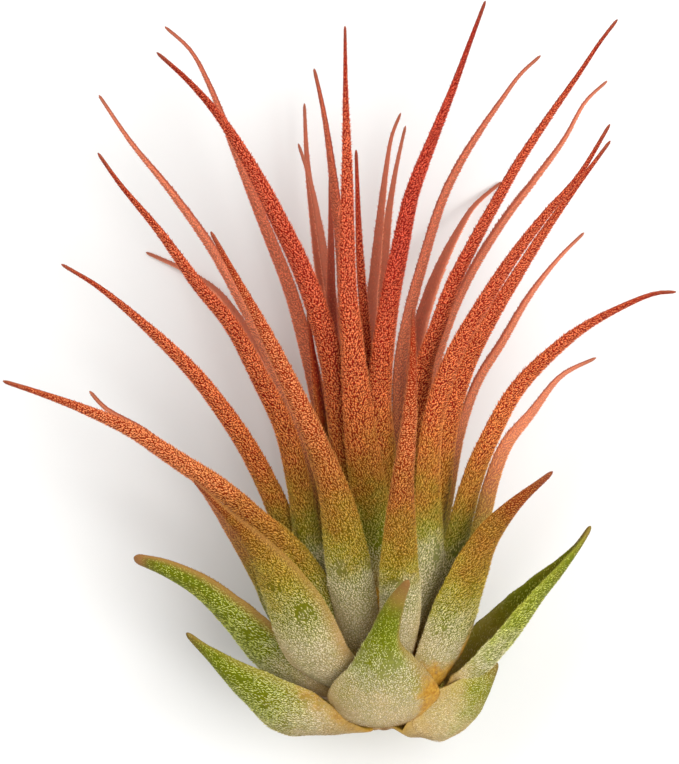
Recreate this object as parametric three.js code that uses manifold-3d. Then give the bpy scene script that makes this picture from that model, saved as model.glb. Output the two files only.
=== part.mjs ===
// A sky plant, a small air plant, lying on its side: a short stem and a rosette of
// channelled leaves that flush from green to red towards their tips.
//
// Millimetres. The plant rests on the plane Z = 0 with its crown towards +Y, and the
// origin is under the middle of its box. "Around" turns about the stem: 0 is the side
// that faces up, 90 the right, 180 the side that faces the ground and 270 the left.

import * as THREE from "three";
import { mergeVertices } from "three/addons/utils/BufferGeometryUtils.js";
import Module from "manifold-3d";

const wasm = await Module();
wasm.setup();

// Stem
const STEM_FOOT = new THREE.Vector3(4.5, -35.4, 12);
const STEM_AXIS = new THREE.Vector3(-0.09, 0.975, 0.2).normalize();
const STEM_LENGTH = 17;
const STEM_FOOT_RADIUS = 2;
const STEM_RADIUS = 4.1;
const STEM_TOP_RADIUS = 1.9;
const STEM_SWELL = 0.4; // the share of its length over which the foot swells to the stem
const STEM_SIDES = 20;
const STEM_LEVELS = [0, 1.2, 2.6, 5, 8, 11, 14, 16, STEM_LENGTH]; // of its rings
const STEM_DOME = 0.5; // how far the growing point stands above the last ring

// Leaves
const TIP_WIDTH = 0.5;
const TIP_THICKNESS = 0.55;
const BLADE_THICKNESS = 1.15;
const SHEATH_THINNING = 0.3;
const CHANNEL_DEPTH = 0.52; // of half the width, in a broad blade
const CHANNEL_FROM = 0.8; // the width at which a blade starts to be channelled
const CHANNEL_OVER = 1.4;
const SHOULDER = 0.6; // where the side facets of a section meet, as a share of half its width
const USUAL_TAPER = 0.85;
const USUAL_REACH = 17;
const SHEATH_PEAK = 0.42; // where the sheath is widest, as a share of its reach
const ROOT_SHARE = 0.4; // how much of the sheath there is on the stem
const ROOT_WIDTH = 0.8; // and how much narrower still the root is
const ROOT_OVER = 5; // the distance over which a root widens and curls
const AXIS_LEAN = 0.5; // how far a spreading leaf turns its inner face to the crown
const TWIST_FROM = 1; // a leaf turns to its facing between these distances from the stem
const USUAL_TURNED = 8;
const CROWDING = 1.06; // stations lie closer together towards the base
const STATION_STEP = 4.4;
const EXTRA_STATIONS = 4;
const FEWEST_STATIONS = 11;
const MOST_STATIONS = 17;
const LAST_STATION = 0.45; // of a step short of the tip

// Spaces
const CLEARANCE = 0.3;
const GROUND_SPAN = 120;
const MERGE_WITHIN = 1e-4; // points of a skin this close together are one

// Which colour a leaf has is told by its age: the oldest are green, the youngest are red.
const COLOURS = {
  green: new THREE.MeshStandardMaterial({ color: 0x97a35f, roughness: 0.85, metalness: 0 }),
  turning: new THREE.MeshStandardMaterial({ color: 0xb98a5c, roughness: 0.85, metalness: 0 }),
  red: new THREE.MeshStandardMaterial({ color: 0xc05a45, roughness: 0.85, metalness: 0 }),
  stem: new THREE.MeshStandardMaterial({ color: 0x6b4a2c, roughness: 0.9, metalness: 0 }),
};

// Each leaf: the colour, the place on the stem (around, up), the width of its sheath and
// of its blade, and the middle of the leaf from the stem to the tip. Reach is how far up
// the leaf the sheath goes, taper how the blade narrows, and turned how far from the stem
// the leaf has turned to its facing.
const LEAVES = {
  leaf_low_left: {
    colour: "green", around: 303, facing: 336, up: 0.6, sheath: 9.4, blade: 6.5, reach: 19,
    path: [[-1.6, -35.9, 16.4], [-4.55, -34.6, 17], [-7.15, -33, 17.2], [-9.4, -31.5, 17],
      [-11.4, -29.9, 16.8], [-13.3, -28.05, 16.5], [-15.35, -26.15, 16.2]],
  },
  leaf_low_right: {
    colour: "green", around: 46, facing: 40, up: 0.6, sheath: 10.4, blade: 6, reach: 16,
    turned: 3.5,
    path: [[7.4, -36.1, 15.5], [9.4, -35.85, 16.2], [11.62, -34.5, 16.2], [13.45, -32.9, 15.8],
      [14.8, -31.2, 15.1], [15.85, -29.2, 14.2]],
  },
  leaf_low_front: {
    colour: "green", around: 358, up: 2, sheath: 12, blade: 4.6, reach: 16, taper: 0.6,
    path: [[4.5, -35.1, 19.3], [4.5, -33.4, 22.2], [4.5, -30.6, 24.6], [4.3, -27.8, 26.2],
      [4.8, -25.4, 27.6], [5.8, -22.6, 29.6], [6.85, -20.7, 31.6]],
  },
  leaf_left: {
    colour: "green", around: 291, facing: 328, up: 3.3, sheath: 8.6, blade: 7.2, reach: 20, tip: 1.1,
    path: [[-3.2, -31.5, 15.8], [-6.95, -28.25, 16.8], [-9.75, -25.6, 17], [-14.15, -21.8, 17],
      [-17.5, -19.9, 16.6], [-20.6, -18.6, 16]],
  },
  leaf_right: {
    colour: "green", around: 86, facing: 96, up: 3.3, sheath: 9.4, blade: 5.3, reach: 23, taper: 0.66,
    channel: 0.68,
    path: [[9.8, -32.6, 13.8], [12.7, -31.4, 14.2], [14.75, -29.5, 14.5], [16.6, -27.5, 14.8],
      [18.4, -25.1, 15.2], [20.35, -22.25, 15.6], [22.2, -19.9, 15.9], [24, -17.35, 16],
      [25.15, -15.45, 16]],
  },
  leaf_fore_left: {
    colour: "turning", around: 330, facing: 340, up: 4.8, sheath: 8.2, blade: 4.2, reach: 27,
    path: [[0.2, -31.2, 19.8], [-2.45, -28.35, 22.8], [-3.95, -24.85, 24.4],
      [-5.45, -21.85, 25.6], [-7.75, -18.35, 27], [-9.95, -15.55, 28.4], [-12.45, -12.85, 29.8],
      [-14.45, -10.85, 31]],
  },
  leaf_fore_right: {
    colour: "turning", around: 44, facing: 34, up: 4.6, sheath: 7.4, blade: 4.9, reach: 26, taper: 0.62,
    path: [[8.4, -31.8, 17.2], [10.4, -28.4, 19.6], [11.78, -23.85, 21.4], [13.35, -19.85, 22.6],
      [14.85, -16.85, 23.4], [18.05, -12.85, 24.2], [21.25, -9.95, 24.8]],
  },
  leaf_under_right: {
    colour: "green", around: 134, up: 1.8, sheath: 7.2, blade: 4.2, reach: 15,
    path: [[8.9, -33.6, 7.2], [12.2, -31.2, 4.4], [15.4, -28, 1.9], [18.4, -24.4, 0.15]],
  },
  leaf_under_mid_right: {
    colour: "green", around: 158, up: 4.2, sheath: 7, blade: 3.6, reach: 17,
    path: [[6.9, -30.8, 6.2], [8.5, -27.6, 4.4], [10, -23.6, 3.2], [11.4, -19.4, 2.5]],
  },
  leaf_under_mid: {
    colour: "green", around: 184, up: 0.6, sheath: 9.6, blade: 3.6, reach: 18,
    path: [[3.6, -34.2, 5.4], [3.4, -31, 2.2], [3.1, -26.8, 0.2], [2.8, -22, 0.8],
      [2.7, -18, 1.8]],
  },
  leaf_under_mid_left: {
    colour: "green", around: 210, up: 4.2, sheath: 7, blade: 3.6, reach: 17,
    path: [[0.2, -30.6, 6.4], [-2.2, -27.6, 4.8], [-4.4, -23.6, 3.6], [-6.8, -19.4, 2.8]],
  },
  leaf_under_left: {
    colour: "green", around: 229, up: 1.8, sheath: 7.2, blade: 4.2, reach: 15,
    path: [[-0.8, -33.4, 7.2], [-4.6, -30.9, 4.4], [-8.3, -27.3, 1.9], [-11.8, -23.3, 0.15]],
  },
  leaf_long_left: {
    colour: "turning", around: 300, facing: 326, up: 5.6, sheath: 7, blade: 4.2, reach: 17,
    path: [[-0.6, -27.6, 18.4], [-3.3, -21.5, 20.2], [-5.4, -17.8, 21], [-8.15, -15.4, 21.3],
      [-12.05, -11.9, 21.4], [-16.5, -8.9, 21.2], [-20.95, -5.9, 20.8], [-25.95, -3.6, 20.2],
      [-29.95, -2.15, 19.8], [-33.65, -0.95, 19.5]],
  },
  leaf_under_long_left: {
    colour: "turning", around: 262, facing: 290, up: 5.2, sheath: 6.6, blade: 3, reach: 15,
    path: [[-2.6, -27.6, 12.6], [-6.5, -24.7, 12.8], [-8.1, -21.2, 13], [-10.4, -16.95, 13.6],
      [-14.35, -10.7, 14.4], [-19.45, -6.05, 15], [-23.45, -3.65, 15.3], [-25.05, -1.95, 15.4]],
  },
  leaf_left_1: {
    colour: "red", around: 282, facing: 316, up: 7.4, sheath: 5.8, blade: 4, reach: 15,
    path: [[-1.8, -24, 15.6], [-4.4, -18.7, 16.4], [-5.9, -15.3, 17], [-7.32, -11.87, 17.4],
      [-9.6, -7.45, 17.8], [-12.6, -2.95, 18], [-15.1, 0.2, 18], [-19.05, 4.2, 17.8],
      [-23.95, 8.35, 17.4], [-27.85, 10.75, 17]],
  },
  leaf_left_2: {
    colour: "red", around: 298, facing: 324, up: 9.2, sheath: 5, blade: 3.4, reach: 13,
    path: [[-1.2, -22, 18], [-3.2, -18.2, 19.4], [-3.75, -14.85, 20], [-4.45, -10.85, 20.4],
      [-5.7, -5.85, 20.7], [-8.05, -0.85, 21], [-10.95, 4.65, 21], [-13.95, 8.35, 20.9],
      [-17.95, 13.95, 20.6], [-21.95, 18.75, 20.3], [-24.15, 21.85, 20]],
  },
  leaf_fore_left_2: {
    colour: "turning", around: 343, up: 7, sheath: 5.4, blade: 3.6, reach: 28,
    path: [[2.2, -27.4, 20], [1.35, -22.85, 23], [0.55, -17.85, 25], [-0.45, -12.85, 26.8],
      [-1.45, -9.85, 27.6], [-2.75, -6.35, 29], [-5.4, -0.35, 31.4], [-7.8, 4.75, 33.2],
      [-10.25, 9.3, 34.8], [-12.75, 13.85, 36.4]],
  },
  leaf_back_left_1: {
    colour: "red", around: 262, facing: 296, up: 9, sheath: 5, blade: 2.8, reach: 14,
    path: [[-0.6, -22, 14.2], [-2.2, -16, 14.6], [-2.95, -12.5, 14.8], [-4.45, -5.85, 15],
      [-6.95, 1.15, 14.8], [-9.95, 7.15, 14.4], [-12.95, 12.55, 14], [-16.95, 18.15, 13.4],
      [-20.95, 23.05, 12.6], [-24.15, 27.75, 12]],
  },
  leaf_back_left_2: {
    colour: "red", around: 236, up: 6, sheath: 6.6, blade: 2.8, reach: 16,
    path: [[-0.4, -27, 9.4], [-2.6, -20, 7.6], [-3.4, -12, 7.4], [-5, -4, 6.6],
      [-6.95, 0.15, 5.6], [-8.45, 2.65, 4.8], [-10.45, 5.65, 3.6], [-12.45, 8.15, 2.4],
      [-15.45, 10.15, 0.9], [-19.55, 12.05, 0.1]],
  },
  leaf_back_left_3: {
    colour: "red", around: 246, facing: 290, up: 10.2, sheath: 4.6, blade: 3.8, reach: 13,
    path: [[0.6, -20, 12.6], [-0.7, -12, 13], [-2.05, -4.35, 13.2], [-3.48, 2.15, 13.2],
      [-5.12, 8.15, 13], [-7.8, 15.15, 12.6], [-10.65, 22.6, 12], [-12.9, 28.4, 11.4],
      [-14.95, 32.25, 11], [-17.55, 34.65, 10.8]],
  },
  leaf_left_3: {
    colour: "red", around: 325, facing: 340, up: 11.6, sheath: 2.8, blade: 3.1, taper: 0.65,
    path: [[1.7, -18, 17.6], [1.1, -13, 19], [0.4, -8.4, 20.4], [0, -5, 21.2], [-0.75, 0.15, 22],
      [-2.2, 5.65, 22.8], [-4.05, 10.6, 23.2], [-6.15, 15.1, 23.4], [-8.65, 20.05, 23.4],
      [-11.9, 25.3, 23.1], [-14.95, 28.85, 22.7], [-18.25, 31.85, 22.2]],
  },
  leaf_back_1: {
    colour: "red", around: 200, up: 7.6, sheath: 5.6, blade: 2.4, reach: 15,
    path: [[2, -24, 8.2], [1.4, -16, 6], [0.6, -6, 5.4], [-0.8, 4.15, 5.4], [-1.55, 8.15, 5.4],
      [-2.45, 14.65, 5], [-3.25, 21.15, 4.4], [-3.55, 27.05, 4]],
  },
  leaf_back_2: {
    colour: "red", around: 190, up: 9.2, sheath: 4.6, blade: 2, reach: 14,
    path: [[2.8, -20, 9.6], [1.8, -10, 8.8], [0, 2, 8.6], [-1.6, 12, 8.2], [-2.9, 19, 7.6],
      [-4.15, 22.95, 7.2]],
  },
  leaf_mid_left: {
    colour: "red", around: 300, up: 13.4, sheath: 2.2, blade: 2.6, taper: 0.7,
    path: [[2, -16.5, 16.2], [1.3, -8, 17.6], [0.9, 0, 18.8], [0.55, 5.15, 19.8],
      [0.15, 12.15, 20.6], [-0.6, 19.15, 21.2], [-1.45, 25.15, 21.4], [-2.05, 28.15, 21.4],
      [-2.55, 30.25, 21.4]],
  },
  leaf_back_mid: {
    colour: "red", around: 215, up: 11.8, sheath: 2.2, blade: 2,
    path: [[1.8, -17, 12.6], [1, -8, 14.4], [-0.2, -2, 15.4], [-0.55, 1.15, 15.8],
      [-0.85, 7.15, 16.2], [-0.85, 13.15, 16.4], [-0.95, 19.65, 16.2]],
  },
  leaf_middle: {
    colour: "red", around: 2, up: 12.4, sheath: 4.2, blade: 3.2, reach: 34, taper: 1.05,
    path: [[3.9, -18, 19.4], [3.4, -14.85, 20.8], [2.75, -10.85, 22.4], [2.15, -6.85, 23.6],
      [1.75, -2.85, 24.4], [1.25, 3.15, 25], [0.85, 8, 25.2], [0.75, 14, 25.3], [0.75, 20, 25.3],
      [0.6, 28, 25.2], [0.55, 34.45, 25]],
  },
  leaf_middle_thin: {
    colour: "red", around: 30, up: 15, sheath: 1.4, blade: 1.3,
    path: [[3.6, -14, 17], [3.2, -4, 18.2], [2.75, 2.15, 19.2], [2.05, 11.15, 20.2],
      [1.75, 19.15, 20.8], [1.65, 22.15, 21]],
  },
  leaf_back_right_1: {
    colour: "red", around: 165, up: 10.6, sheath: 2, blade: 1.8,
    path: [[4.2, -18, 11.4], [3.9, -8, 12.4], [3.4, 0, 13], [3.25, 7.15, 13.4],
      [3.55, 10.15, 13.4], [4.05, 15.15, 13.3], [4.65, 20.15, 13], [5.25, 23.65, 12.7],
      [6.15, 25.95, 12.4]],
  },
  leaf_back_right_2: {
    colour: "red", around: 168, up: 7.2, sheath: 5.6, blade: 2, reach: 15,
    path: [[5.2, -24, 7.8], [4.8, -14, 6.2], [4.3, -2, 6.2], [4.3, 8, 6.6], [4.85, 15.15, 6.6],
      [5.45, 19.15, 6.4], [6.05, 22.15, 6.2], [6.65, 24.75, 6]],
  },
  leaf_right_1: {
    colour: "red", around: 38, up: 12, sheath: 2.6, blade: 3.7, taper: 0.85,
    path: [[5.4, -17, 18.4], [4.8, -11, 19.8], [4.35, -5.85, 21.2], [4.2, -2.85, 21.8],
      [4.7, 3.15, 23], [5.25, 7.15, 23.6], [6.1, 11.6, 24.1], [7.3, 17.6, 24.6],
      [9.2, 22.9, 24.8], [11.15, 27.8, 24.8], [13.05, 32.95, 24.5], [14.55, 36.95, 24]],
  },
  leaf_right_back_1: {
    colour: "red", around: 105, facing: 70, up: 11.4, sheath: 2.4, blade: 2.9,
    path: [[5.9, -18, 15], [6.2, -10, 16], [6.15, -3, 16.6], [6.25, 1, 17], [7, 5.6, 17.2],
      [8.05, 9.75, 17.3], [10.25, 17.05, 17.2], [12.25, 21.2, 17], [14.2, 24.3, 16.8],
      [16.15, 27.1, 16.5], [18.1, 29.75, 16.2], [20.15, 31.65, 16]],
  },
  leaf_right_2: {
    colour: "red", around: 72, facing: 48, up: 10.4, sheath: 3, blade: 3.6, taper: 1.1,
    path: [[7, -18, 17.6], [7.9, -11, 18.8], [8.3, -4, 20.2], [8.75, 0.65, 21.4],
      [10.05, 4.65, 22], [11.35, 8.45, 22.4], [13.35, 12.65, 22.8], [16.05, 17.65, 23],
      [18.05, 21.15, 23], [21.05, 25.65, 22.8], [24.05, 29.95, 22.5], [26.05, 32.95, 22.2],
      [27.75, 35.15, 22]],
  },
  leaf_right_back_2: {
    colour: "red", around: 115, facing: 84, up: 9.4, sheath: 4.4, blade: 2.3, reach: 13,
    path: [[7, -20, 12.4], [7.8, -12, 13], [8.6, -4, 13.6], [10.6, 4, 14.2], [13.05, 9.65, 14.6],
      [16.55, 15.35, 14.8], [19.85, 19.65, 14.7], [22.55, 23.35, 14.5], [24.65, 27.05, 14.2],
      [26.85, 29.15, 14]],
  },
  leaf_back_right_3: {
    colour: "red", around: 146, up: 7, sheath: 6.2, blade: 3, reach: 15,
    path: [[6.6, -25, 9.2], [7.2, -16, 7.4], [7, -6, 7.2], [7.95, 3.65, 6.8], [8.95, 7.35, 6],
      [10.35, 11, 4.8], [12.2, 14.6, 2.8], [13.65, 16.8, 1.2], [16.35, 19.15, 0.1]],
  },
  leaf_right_front_1: {
    colour: "red", around: 46, facing: 32, up: 7.6, sheath: 3.8, blade: 3.25, reach: 30,
    path: [[7.9, -25.4, 18.6], [9, -20.6, 20.8], [9.05, -16.85, 22], [8.95, -12.85, 22.9],
      [9.05, -8.85, 23.6], [9.55, -4.85, 24.2], [11.35, 1.1, 25], [14.95, 7.7, 25.6],
      [17.85, 12.15, 25.8], [20.8, 15.95, 25.7], [23.7, 19.3, 25.4], [26.95, 24.65, 24.8]],
  },
  leaf_right_front_2: {
    colour: "red", around: 74, facing: 48, up: 8.8, sheath: 5, blade: 3.6, reach: 13,
    path: [[8.2, -22.5, 16.4], [9.3, -17, 17.6], [10.3, -11.85, 18.4], [11.05, -5.85, 19.6],
      [12.8, 0.2, 20.6], [15.25, 5.25, 21.2], [17.95, 9.9, 21.5], [20.5, 14, 21.6],
      [23.05, 17.65, 21.6], [27.05, 23.05, 21.3]],
  },
  leaf_right_back_3: {
    colour: "red", around: 108, facing: 78, up: 7.6, sheath: 5.8, blade: 2.6, reach: 14,
    path: [[8.4, -25, 12.6], [10, -18, 13.2], [11.05, -11.85, 13.6], [12.15, -5.9, 13.8],
      [13.8, -1.1, 13.8], [16.3, 3, 13.6], [19.05, 7.65, 13.2], [22.05, 11.45, 12.7],
      [24.55, 13.95, 12.4]],
  },
  leaf_right_3: {
    colour: "red", around: 80, facing: 48, up: 6.2, sheath: 6.4, blade: 4.2, reach: 15,
    path: [[9, -27, 15.6], [10.9, -22.5, 17.9], [11.75, -18.8, 19], [12.65, -14.5, 19.7],
      [13.85, -10.15, 20.1], [15.55, -6.15, 20.4], [17.75, -2.1, 20.4], [20.7, 1.25, 20.6],
      [24.15, 4.2, 20.6], [28.05, 6.4, 20.4], [31.55, 7.8, 20.2], [33.65, 7.95, 20]],
  },
  leaf_right_4: {
    colour: "red", around: 106, facing: 62, up: 5.8, sheath: 6.4, blade: 4.2, reach: 15,
    path: [[9.2, -29.4, 12], [12.3, -23, 12.6], [14.3, -16, 13], [15.65, -10.5, 13.2],
      [16.95, -7.25, 13.2], [19.3, -4.15, 13.1], [22.2, -0.45, 12.9], [25.75, 1.4, 12.7]],
  },
  leaf_fore_right_2: {
    colour: "turning", around: 12, up: 5.4, sheath: 4.9, blade: 3.2, reach: 30,
    path: [[5.6, -28.6, 20.6], [6.05, -25.4, 23.6], [6.1, -22.4, 25.6], [5.95, -19.85, 27.2],
      [6.05, -16.85, 28.9], [6.35, -10.85, 31.8], [6.75, -6.85, 33.6], [7.15, -0.85, 36.6],
      [7.25, 2.5, 38.6], [7.25, 6.15, 40.6]],
  },
  leaf_heart_1: {
    colour: "red", around: 140, up: 14.6, sheath: 2.4, blade: 2, reach: 12,
    path: [[4.9, -16, 15], [4.6, -8, 15.2], [4.8, -1, 14.9], [5.2, 6, 14.6]],
  },
  leaf_heart_2: {
    colour: "red", around: 250, up: 14.2, sheath: 2.4, blade: 2, reach: 12,
    path: [[0.6, -16, 15.4], [-1.3, -8, 16.6], [-2.3, -1, 17.4], [-3.2, 6, 18]],
  },
};

// The directions about the stem
const RIGHT = new THREE.Vector3().crossVectors(STEM_AXIS, new THREE.Vector3(0, 0, 1)).normalize();
const UPPER = new THREE.Vector3().crossVectors(RIGHT, STEM_AXIS).normalize();

function outward(around) {
  const turn = THREE.MathUtils.degToRad(around);
  return UPPER.clone().multiplyScalar(Math.cos(turn)).addScaledVector(RIGHT, Math.sin(turn));
}

function stemRadius(up) {
  const share = Math.min(Math.max(up / STEM_LENGTH, 0), 1);
  const swell = THREE.MathUtils.smoothstep(share, -STEM_SWELL / 2, STEM_SWELL);
  const lower = THREE.MathUtils.lerp(STEM_FOOT_RADIUS, STEM_RADIUS, swell);
  return THREE.MathUtils.lerp(lower, STEM_TOP_RADIUS, share * share);
}

// Solids and meshes
function solidOf(geometry) {
  const bare = geometry.clone();
  bare.deleteAttribute("normal");
  bare.deleteAttribute("uv");
  const merged = mergeVertices(bare, MERGE_WITHIN);
  return new wasm.Manifold(new wasm.Mesh({
    numProp: 3,
    vertProperties: new Float32Array(merged.attributes.position.array),
    triVerts: new Uint32Array(merged.index.array),
  }));
}

function geometryOf(solid) {
  const mesh = solid.getMesh();
  const geometry = new THREE.BufferGeometry();
  geometry.setAttribute("position", new THREE.BufferAttribute(mesh.vertProperties, 3));
  geometry.setIndex(new THREE.BufferAttribute(mesh.triVerts, 1));
  geometry.computeVertexNormals();
  return geometry;
}

// The stem, and the same grown by a clearance
function stemGeometry(grown) {
  const profile = [new THREE.Vector2(0, -grown)];
  for (const up of STEM_LEVELS) {
    profile.push(new THREE.Vector2(stemRadius(up) + grown, up === 0 ? -grown : up));
  }
  profile.push(new THREE.Vector2(0, STEM_LENGTH + grown + STEM_DOME));
  const geometry = new THREE.LatheGeometry(profile, STEM_SIDES);
  const turn = new THREE.Quaternion().setFromUnitVectors(new THREE.Vector3(0, 1, 0), STEM_AXIS);
  return geometry.applyQuaternion(turn).translate(STEM_FOOT.x, STEM_FOOT.y, STEM_FOOT.z);
}

// How far a leaf is sheath, from 0 to 1, at a distance from the stem
function sheathShare(leaf, distance) {
  const reach = leaf.reach ?? USUAL_REACH;
  const peak = reach * SHEATH_PEAK;
  if (distance < peak) {
    return THREE.MathUtils.lerp(ROOT_SHARE, 1, THREE.MathUtils.smoothstep(distance, 0, peak));
  }
  const past = Math.min((distance - peak) / (reach - peak), 1);
  return Math.cos((Math.PI / 2) * past) ** 2;
}

function bladeShare(leaf, share) {
  return Math.max(1 - share, 0) ** (leaf.taper ?? USUAL_TAPER);
}

// The middle line of a leaf, from its seat on the stem to its tip
function leafCurve(leaf) {
  const away = stemRadius(leaf.up) + CLEARANCE + BLADE_THICKNESS / 2;
  const seat = STEM_FOOT.clone().addScaledVector(STEM_AXIS, leaf.up);
  seat.addScaledVector(outward(leaf.around), away);
  const points = [seat, ...leaf.path.map(([x, y, z]) => new THREE.Vector3(x, y, z))];
  return new THREE.CatmullRomCurve3(points, false, "centripetal");
}

// The way the inner face looks: at the root it lies across the stem, further up it turns
// to the crown and away from the leaf's facing
function innerFace(leaf, along, distance) {
  const across = new THREE.Vector3().crossVectors(STEM_AXIS, outward(leaf.around));
  const atRoot = new THREE.Vector3().crossVectors(along, across).normalize();
  const above = STEM_AXIS.clone().multiplyScalar(AXIS_LEAN).sub(outward(leaf.facing ?? leaf.around));
  above.addScaledVector(along, -above.dot(along)).normalize();
  const twist = THREE.MathUtils.smoothstep(distance, TWIST_FROM, leaf.turned ?? USUAL_TURNED);
  return atRoot.lerp(above, twist).normalize();
}

// One section: five points along the outer face from edge to edge, three back along the inner
function section(leaf, curve, share, grown) {
  const length = curve.getLength();
  const centre = curve.getPointAt(share);
  const along = curve.getTangentAt(share);
  const inner = innerFace(leaf, along, share * length);
  const side = new THREE.Vector3().crossVectors(along, inner);

  const sheath = sheathShare(leaf, share * length);
  const blade = bladeShare(leaf, share);
  const tip = leaf.tip ?? TIP_WIDTH;
  const full = tip + (leaf.blade - tip) * blade + (leaf.sheath - leaf.blade) * sheath;
  const open = THREE.MathUtils.smoothstep(share * length, 0, ROOT_OVER);
  const width = full * THREE.MathUtils.lerp(ROOT_WIDTH, 1, open);
  const half = width / 2 + grown;
  const thickness = TIP_THICKNESS + (BLADE_THICKNESS - TIP_THICKNESS) * blade - SHEATH_THINNING * sheath;
  const depthShare = THREE.MathUtils.smoothstep(width, CHANNEL_FROM, CHANNEL_FROM + CHANNEL_OVER);
  const fromAxis = axisDistance(centre);
  const bladeDepth = (leaf.channel ?? CHANNEL_DEPTH) * half * depthShare;
  const sheathDepth = Math.max((half * half) / (2 * fromAxis), (leaf.channel ?? 0) * half);
  const depth = open * THREE.MathUtils.lerp(bladeDepth, sheathDepth, sheath);

  const point = (place, face) => {
    const slope = (2 * depth * place) / half;
    const lean = Math.hypot(slope, 1);
    const offset = face * (thickness / 2 + grown);
    return centre.clone()
      .addScaledVector(side, place * half - (offset * slope) / lean)
      .addScaledVector(inner, depth * place * place + offset / lean);
  };
  return [
    point(-1, 0), point(-SHOULDER, -1), point(0, -1), point(SHOULDER, -1),
    point(1, 0), point(SHOULDER, 1), point(0, 1), point(-SHOULDER, 1),
  ];
}

function axisDistance(point) {
  const from = point.clone().sub(STEM_FOOT);
  return Math.max(from.addScaledVector(STEM_AXIS, -from.dot(STEM_AXIS)).length(), STEM_TOP_RADIUS);
}

function leafGeometry(leaf, grown) {
  const curve = leafCurve(leaf);
  const length = curve.getLength();
  const wanted = Math.round(length / STATION_STEP) + EXTRA_STATIONS;
  const stations = Math.min(Math.max(wanted, FEWEST_STATIONS), MOST_STATIONS);
  const rings = [];
  for (let i = 0; i < stations; i++) {
    rings.push(section(leaf, curve, (i / stations) ** CROWDING, grown));
  }
  rings.push(section(leaf, curve, 1 - LAST_STATION / stations, grown));
  const tip = curve.getPointAt(1).addScaledVector(curve.getTangentAt(1), grown);
  return loft(rings, tip);
}

// A closed skin over the rings, flat at the first and pointed at the tip
function loft(rings, tip) {
  const around = rings[0].length;
  const positions = rings.flat().concat(tip).flatMap((p) => [p.x, p.y, p.z]);
  const at = (ring, k) => ring * around + (k % around);
  const faces = [];
  for (let ring = 0; ring + 1 < rings.length; ring++) {
    for (let k = 0; k < around; k++) {
      faces.push(at(ring, k), at(ring + 1, k), at(ring, k + 1));
      faces.push(at(ring, k + 1), at(ring + 1, k), at(ring + 1, k + 1));
    }
  }
  const last = rings.length - 1;
  const point = rings.length * around;
  for (let k = 0; k < around; k++) {
    faces.push(at(last, k), point, at(last, k + 1));
  }
  faces.push(0, 1, 7, 1, 6, 7, 1, 2, 6, 2, 5, 6, 2, 3, 5, 3, 4, 5);
  const geometry = new THREE.BufferGeometry();
  geometry.setAttribute("position", new THREE.Float32BufferAttribute(positions, 3));
  geometry.setIndex(faces);
  return geometry;
}

// The biggest body of a solid that a cut may have left in several
function biggest(solid) {
  return solid.decompose().sort((a, b) => b.volume() - a.volume())[0];
}

// Everything above the ground
function aboveGround() {
  const space = new THREE.BoxGeometry(GROUND_SPAN, GROUND_SPAN, GROUND_SPAN);
  return solidOf(space.translate(0, 0, GROUND_SPAN / 2));
}

function boxesMeet(a, b) {
  return [0, 1, 2].every((k) => a.min[k] < b.max[k] && b.min[k] < a.max[k]);
}

// The leaves from the youngest out, each cut clear of the stem and of the leaves inside it
function buildLeaves() {
  const ground = aboveGround();
  const inside = [solidOf(stemGeometry(CLEARANCE))];
  const meshes = [];
  const youngestFirst = Object.entries(LEAVES).sort((a, b) => b[1].up - a[1].up);
  for (const [name, leaf] of youngestFirst) {
    let solid = solidOf(leafGeometry(leaf, 0)).intersect(ground);
    for (const other of inside) {
      if (boxesMeet(solid.boundingBox(), other.boundingBox())) {
        solid = solid.subtract(other);
      }
    }
    inside.push(solidOf(leafGeometry(leaf, CLEARANCE)));
    const mesh = new THREE.Mesh(geometryOf(biggest(solid)), COLOURS[leaf.colour].clone());
    mesh.name = name;
    meshes.push(mesh);
  }
  return meshes;
}

const stem = new THREE.Mesh(stemGeometry(0), COLOURS.stem);
stem.name = "stem";

const skyPlant = new THREE.Group();
skyPlant.add(stem, ...buildLeaves());

export default skyPlant;
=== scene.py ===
"""A sky plant, a small air plant, lying on its side: fine leaves under their scales."""
import math
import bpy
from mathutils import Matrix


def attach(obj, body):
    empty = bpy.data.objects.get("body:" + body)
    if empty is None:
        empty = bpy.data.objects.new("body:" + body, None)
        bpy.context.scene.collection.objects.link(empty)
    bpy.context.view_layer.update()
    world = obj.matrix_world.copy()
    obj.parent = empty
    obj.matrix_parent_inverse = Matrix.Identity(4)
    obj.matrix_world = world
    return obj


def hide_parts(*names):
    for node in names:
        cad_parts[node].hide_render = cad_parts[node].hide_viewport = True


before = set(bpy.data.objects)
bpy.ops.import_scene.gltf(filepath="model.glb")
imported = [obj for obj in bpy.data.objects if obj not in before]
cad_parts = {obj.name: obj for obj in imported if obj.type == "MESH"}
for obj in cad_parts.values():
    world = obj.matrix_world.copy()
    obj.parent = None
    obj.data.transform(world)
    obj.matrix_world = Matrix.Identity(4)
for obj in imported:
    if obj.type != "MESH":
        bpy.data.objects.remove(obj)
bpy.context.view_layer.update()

from types import SimpleNamespace

import bpy
import numpy as np

MM = 0.001  # the sizes below are millimetres, and the scene is in metres

# The camera looks straight down from far away. One photograph pixel is 0.1 mm.
CAMERA_HEIGHT = 1800
FRAME_HEIGHT = 76.4  # what the 764 rows of the photograph take in
FRAME_MIDDLE = (0, -1.05)
SCALE_HEIGHT = 18  # the height at which a pixel is 0.1 mm
SENSOR = 36
CLIP = (50, 20000)

# The light: a soft key high at the right, a fill at the left, and a pale room
LIGHTS = dict(key=((410, -90, 780), 8), fill=((-420, 380, 700), 3))  # their place and power
LIGHT_SIZE = 700
ROOM_LIGHT = 0.4
FLOOR_SPAN = 6000

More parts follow.
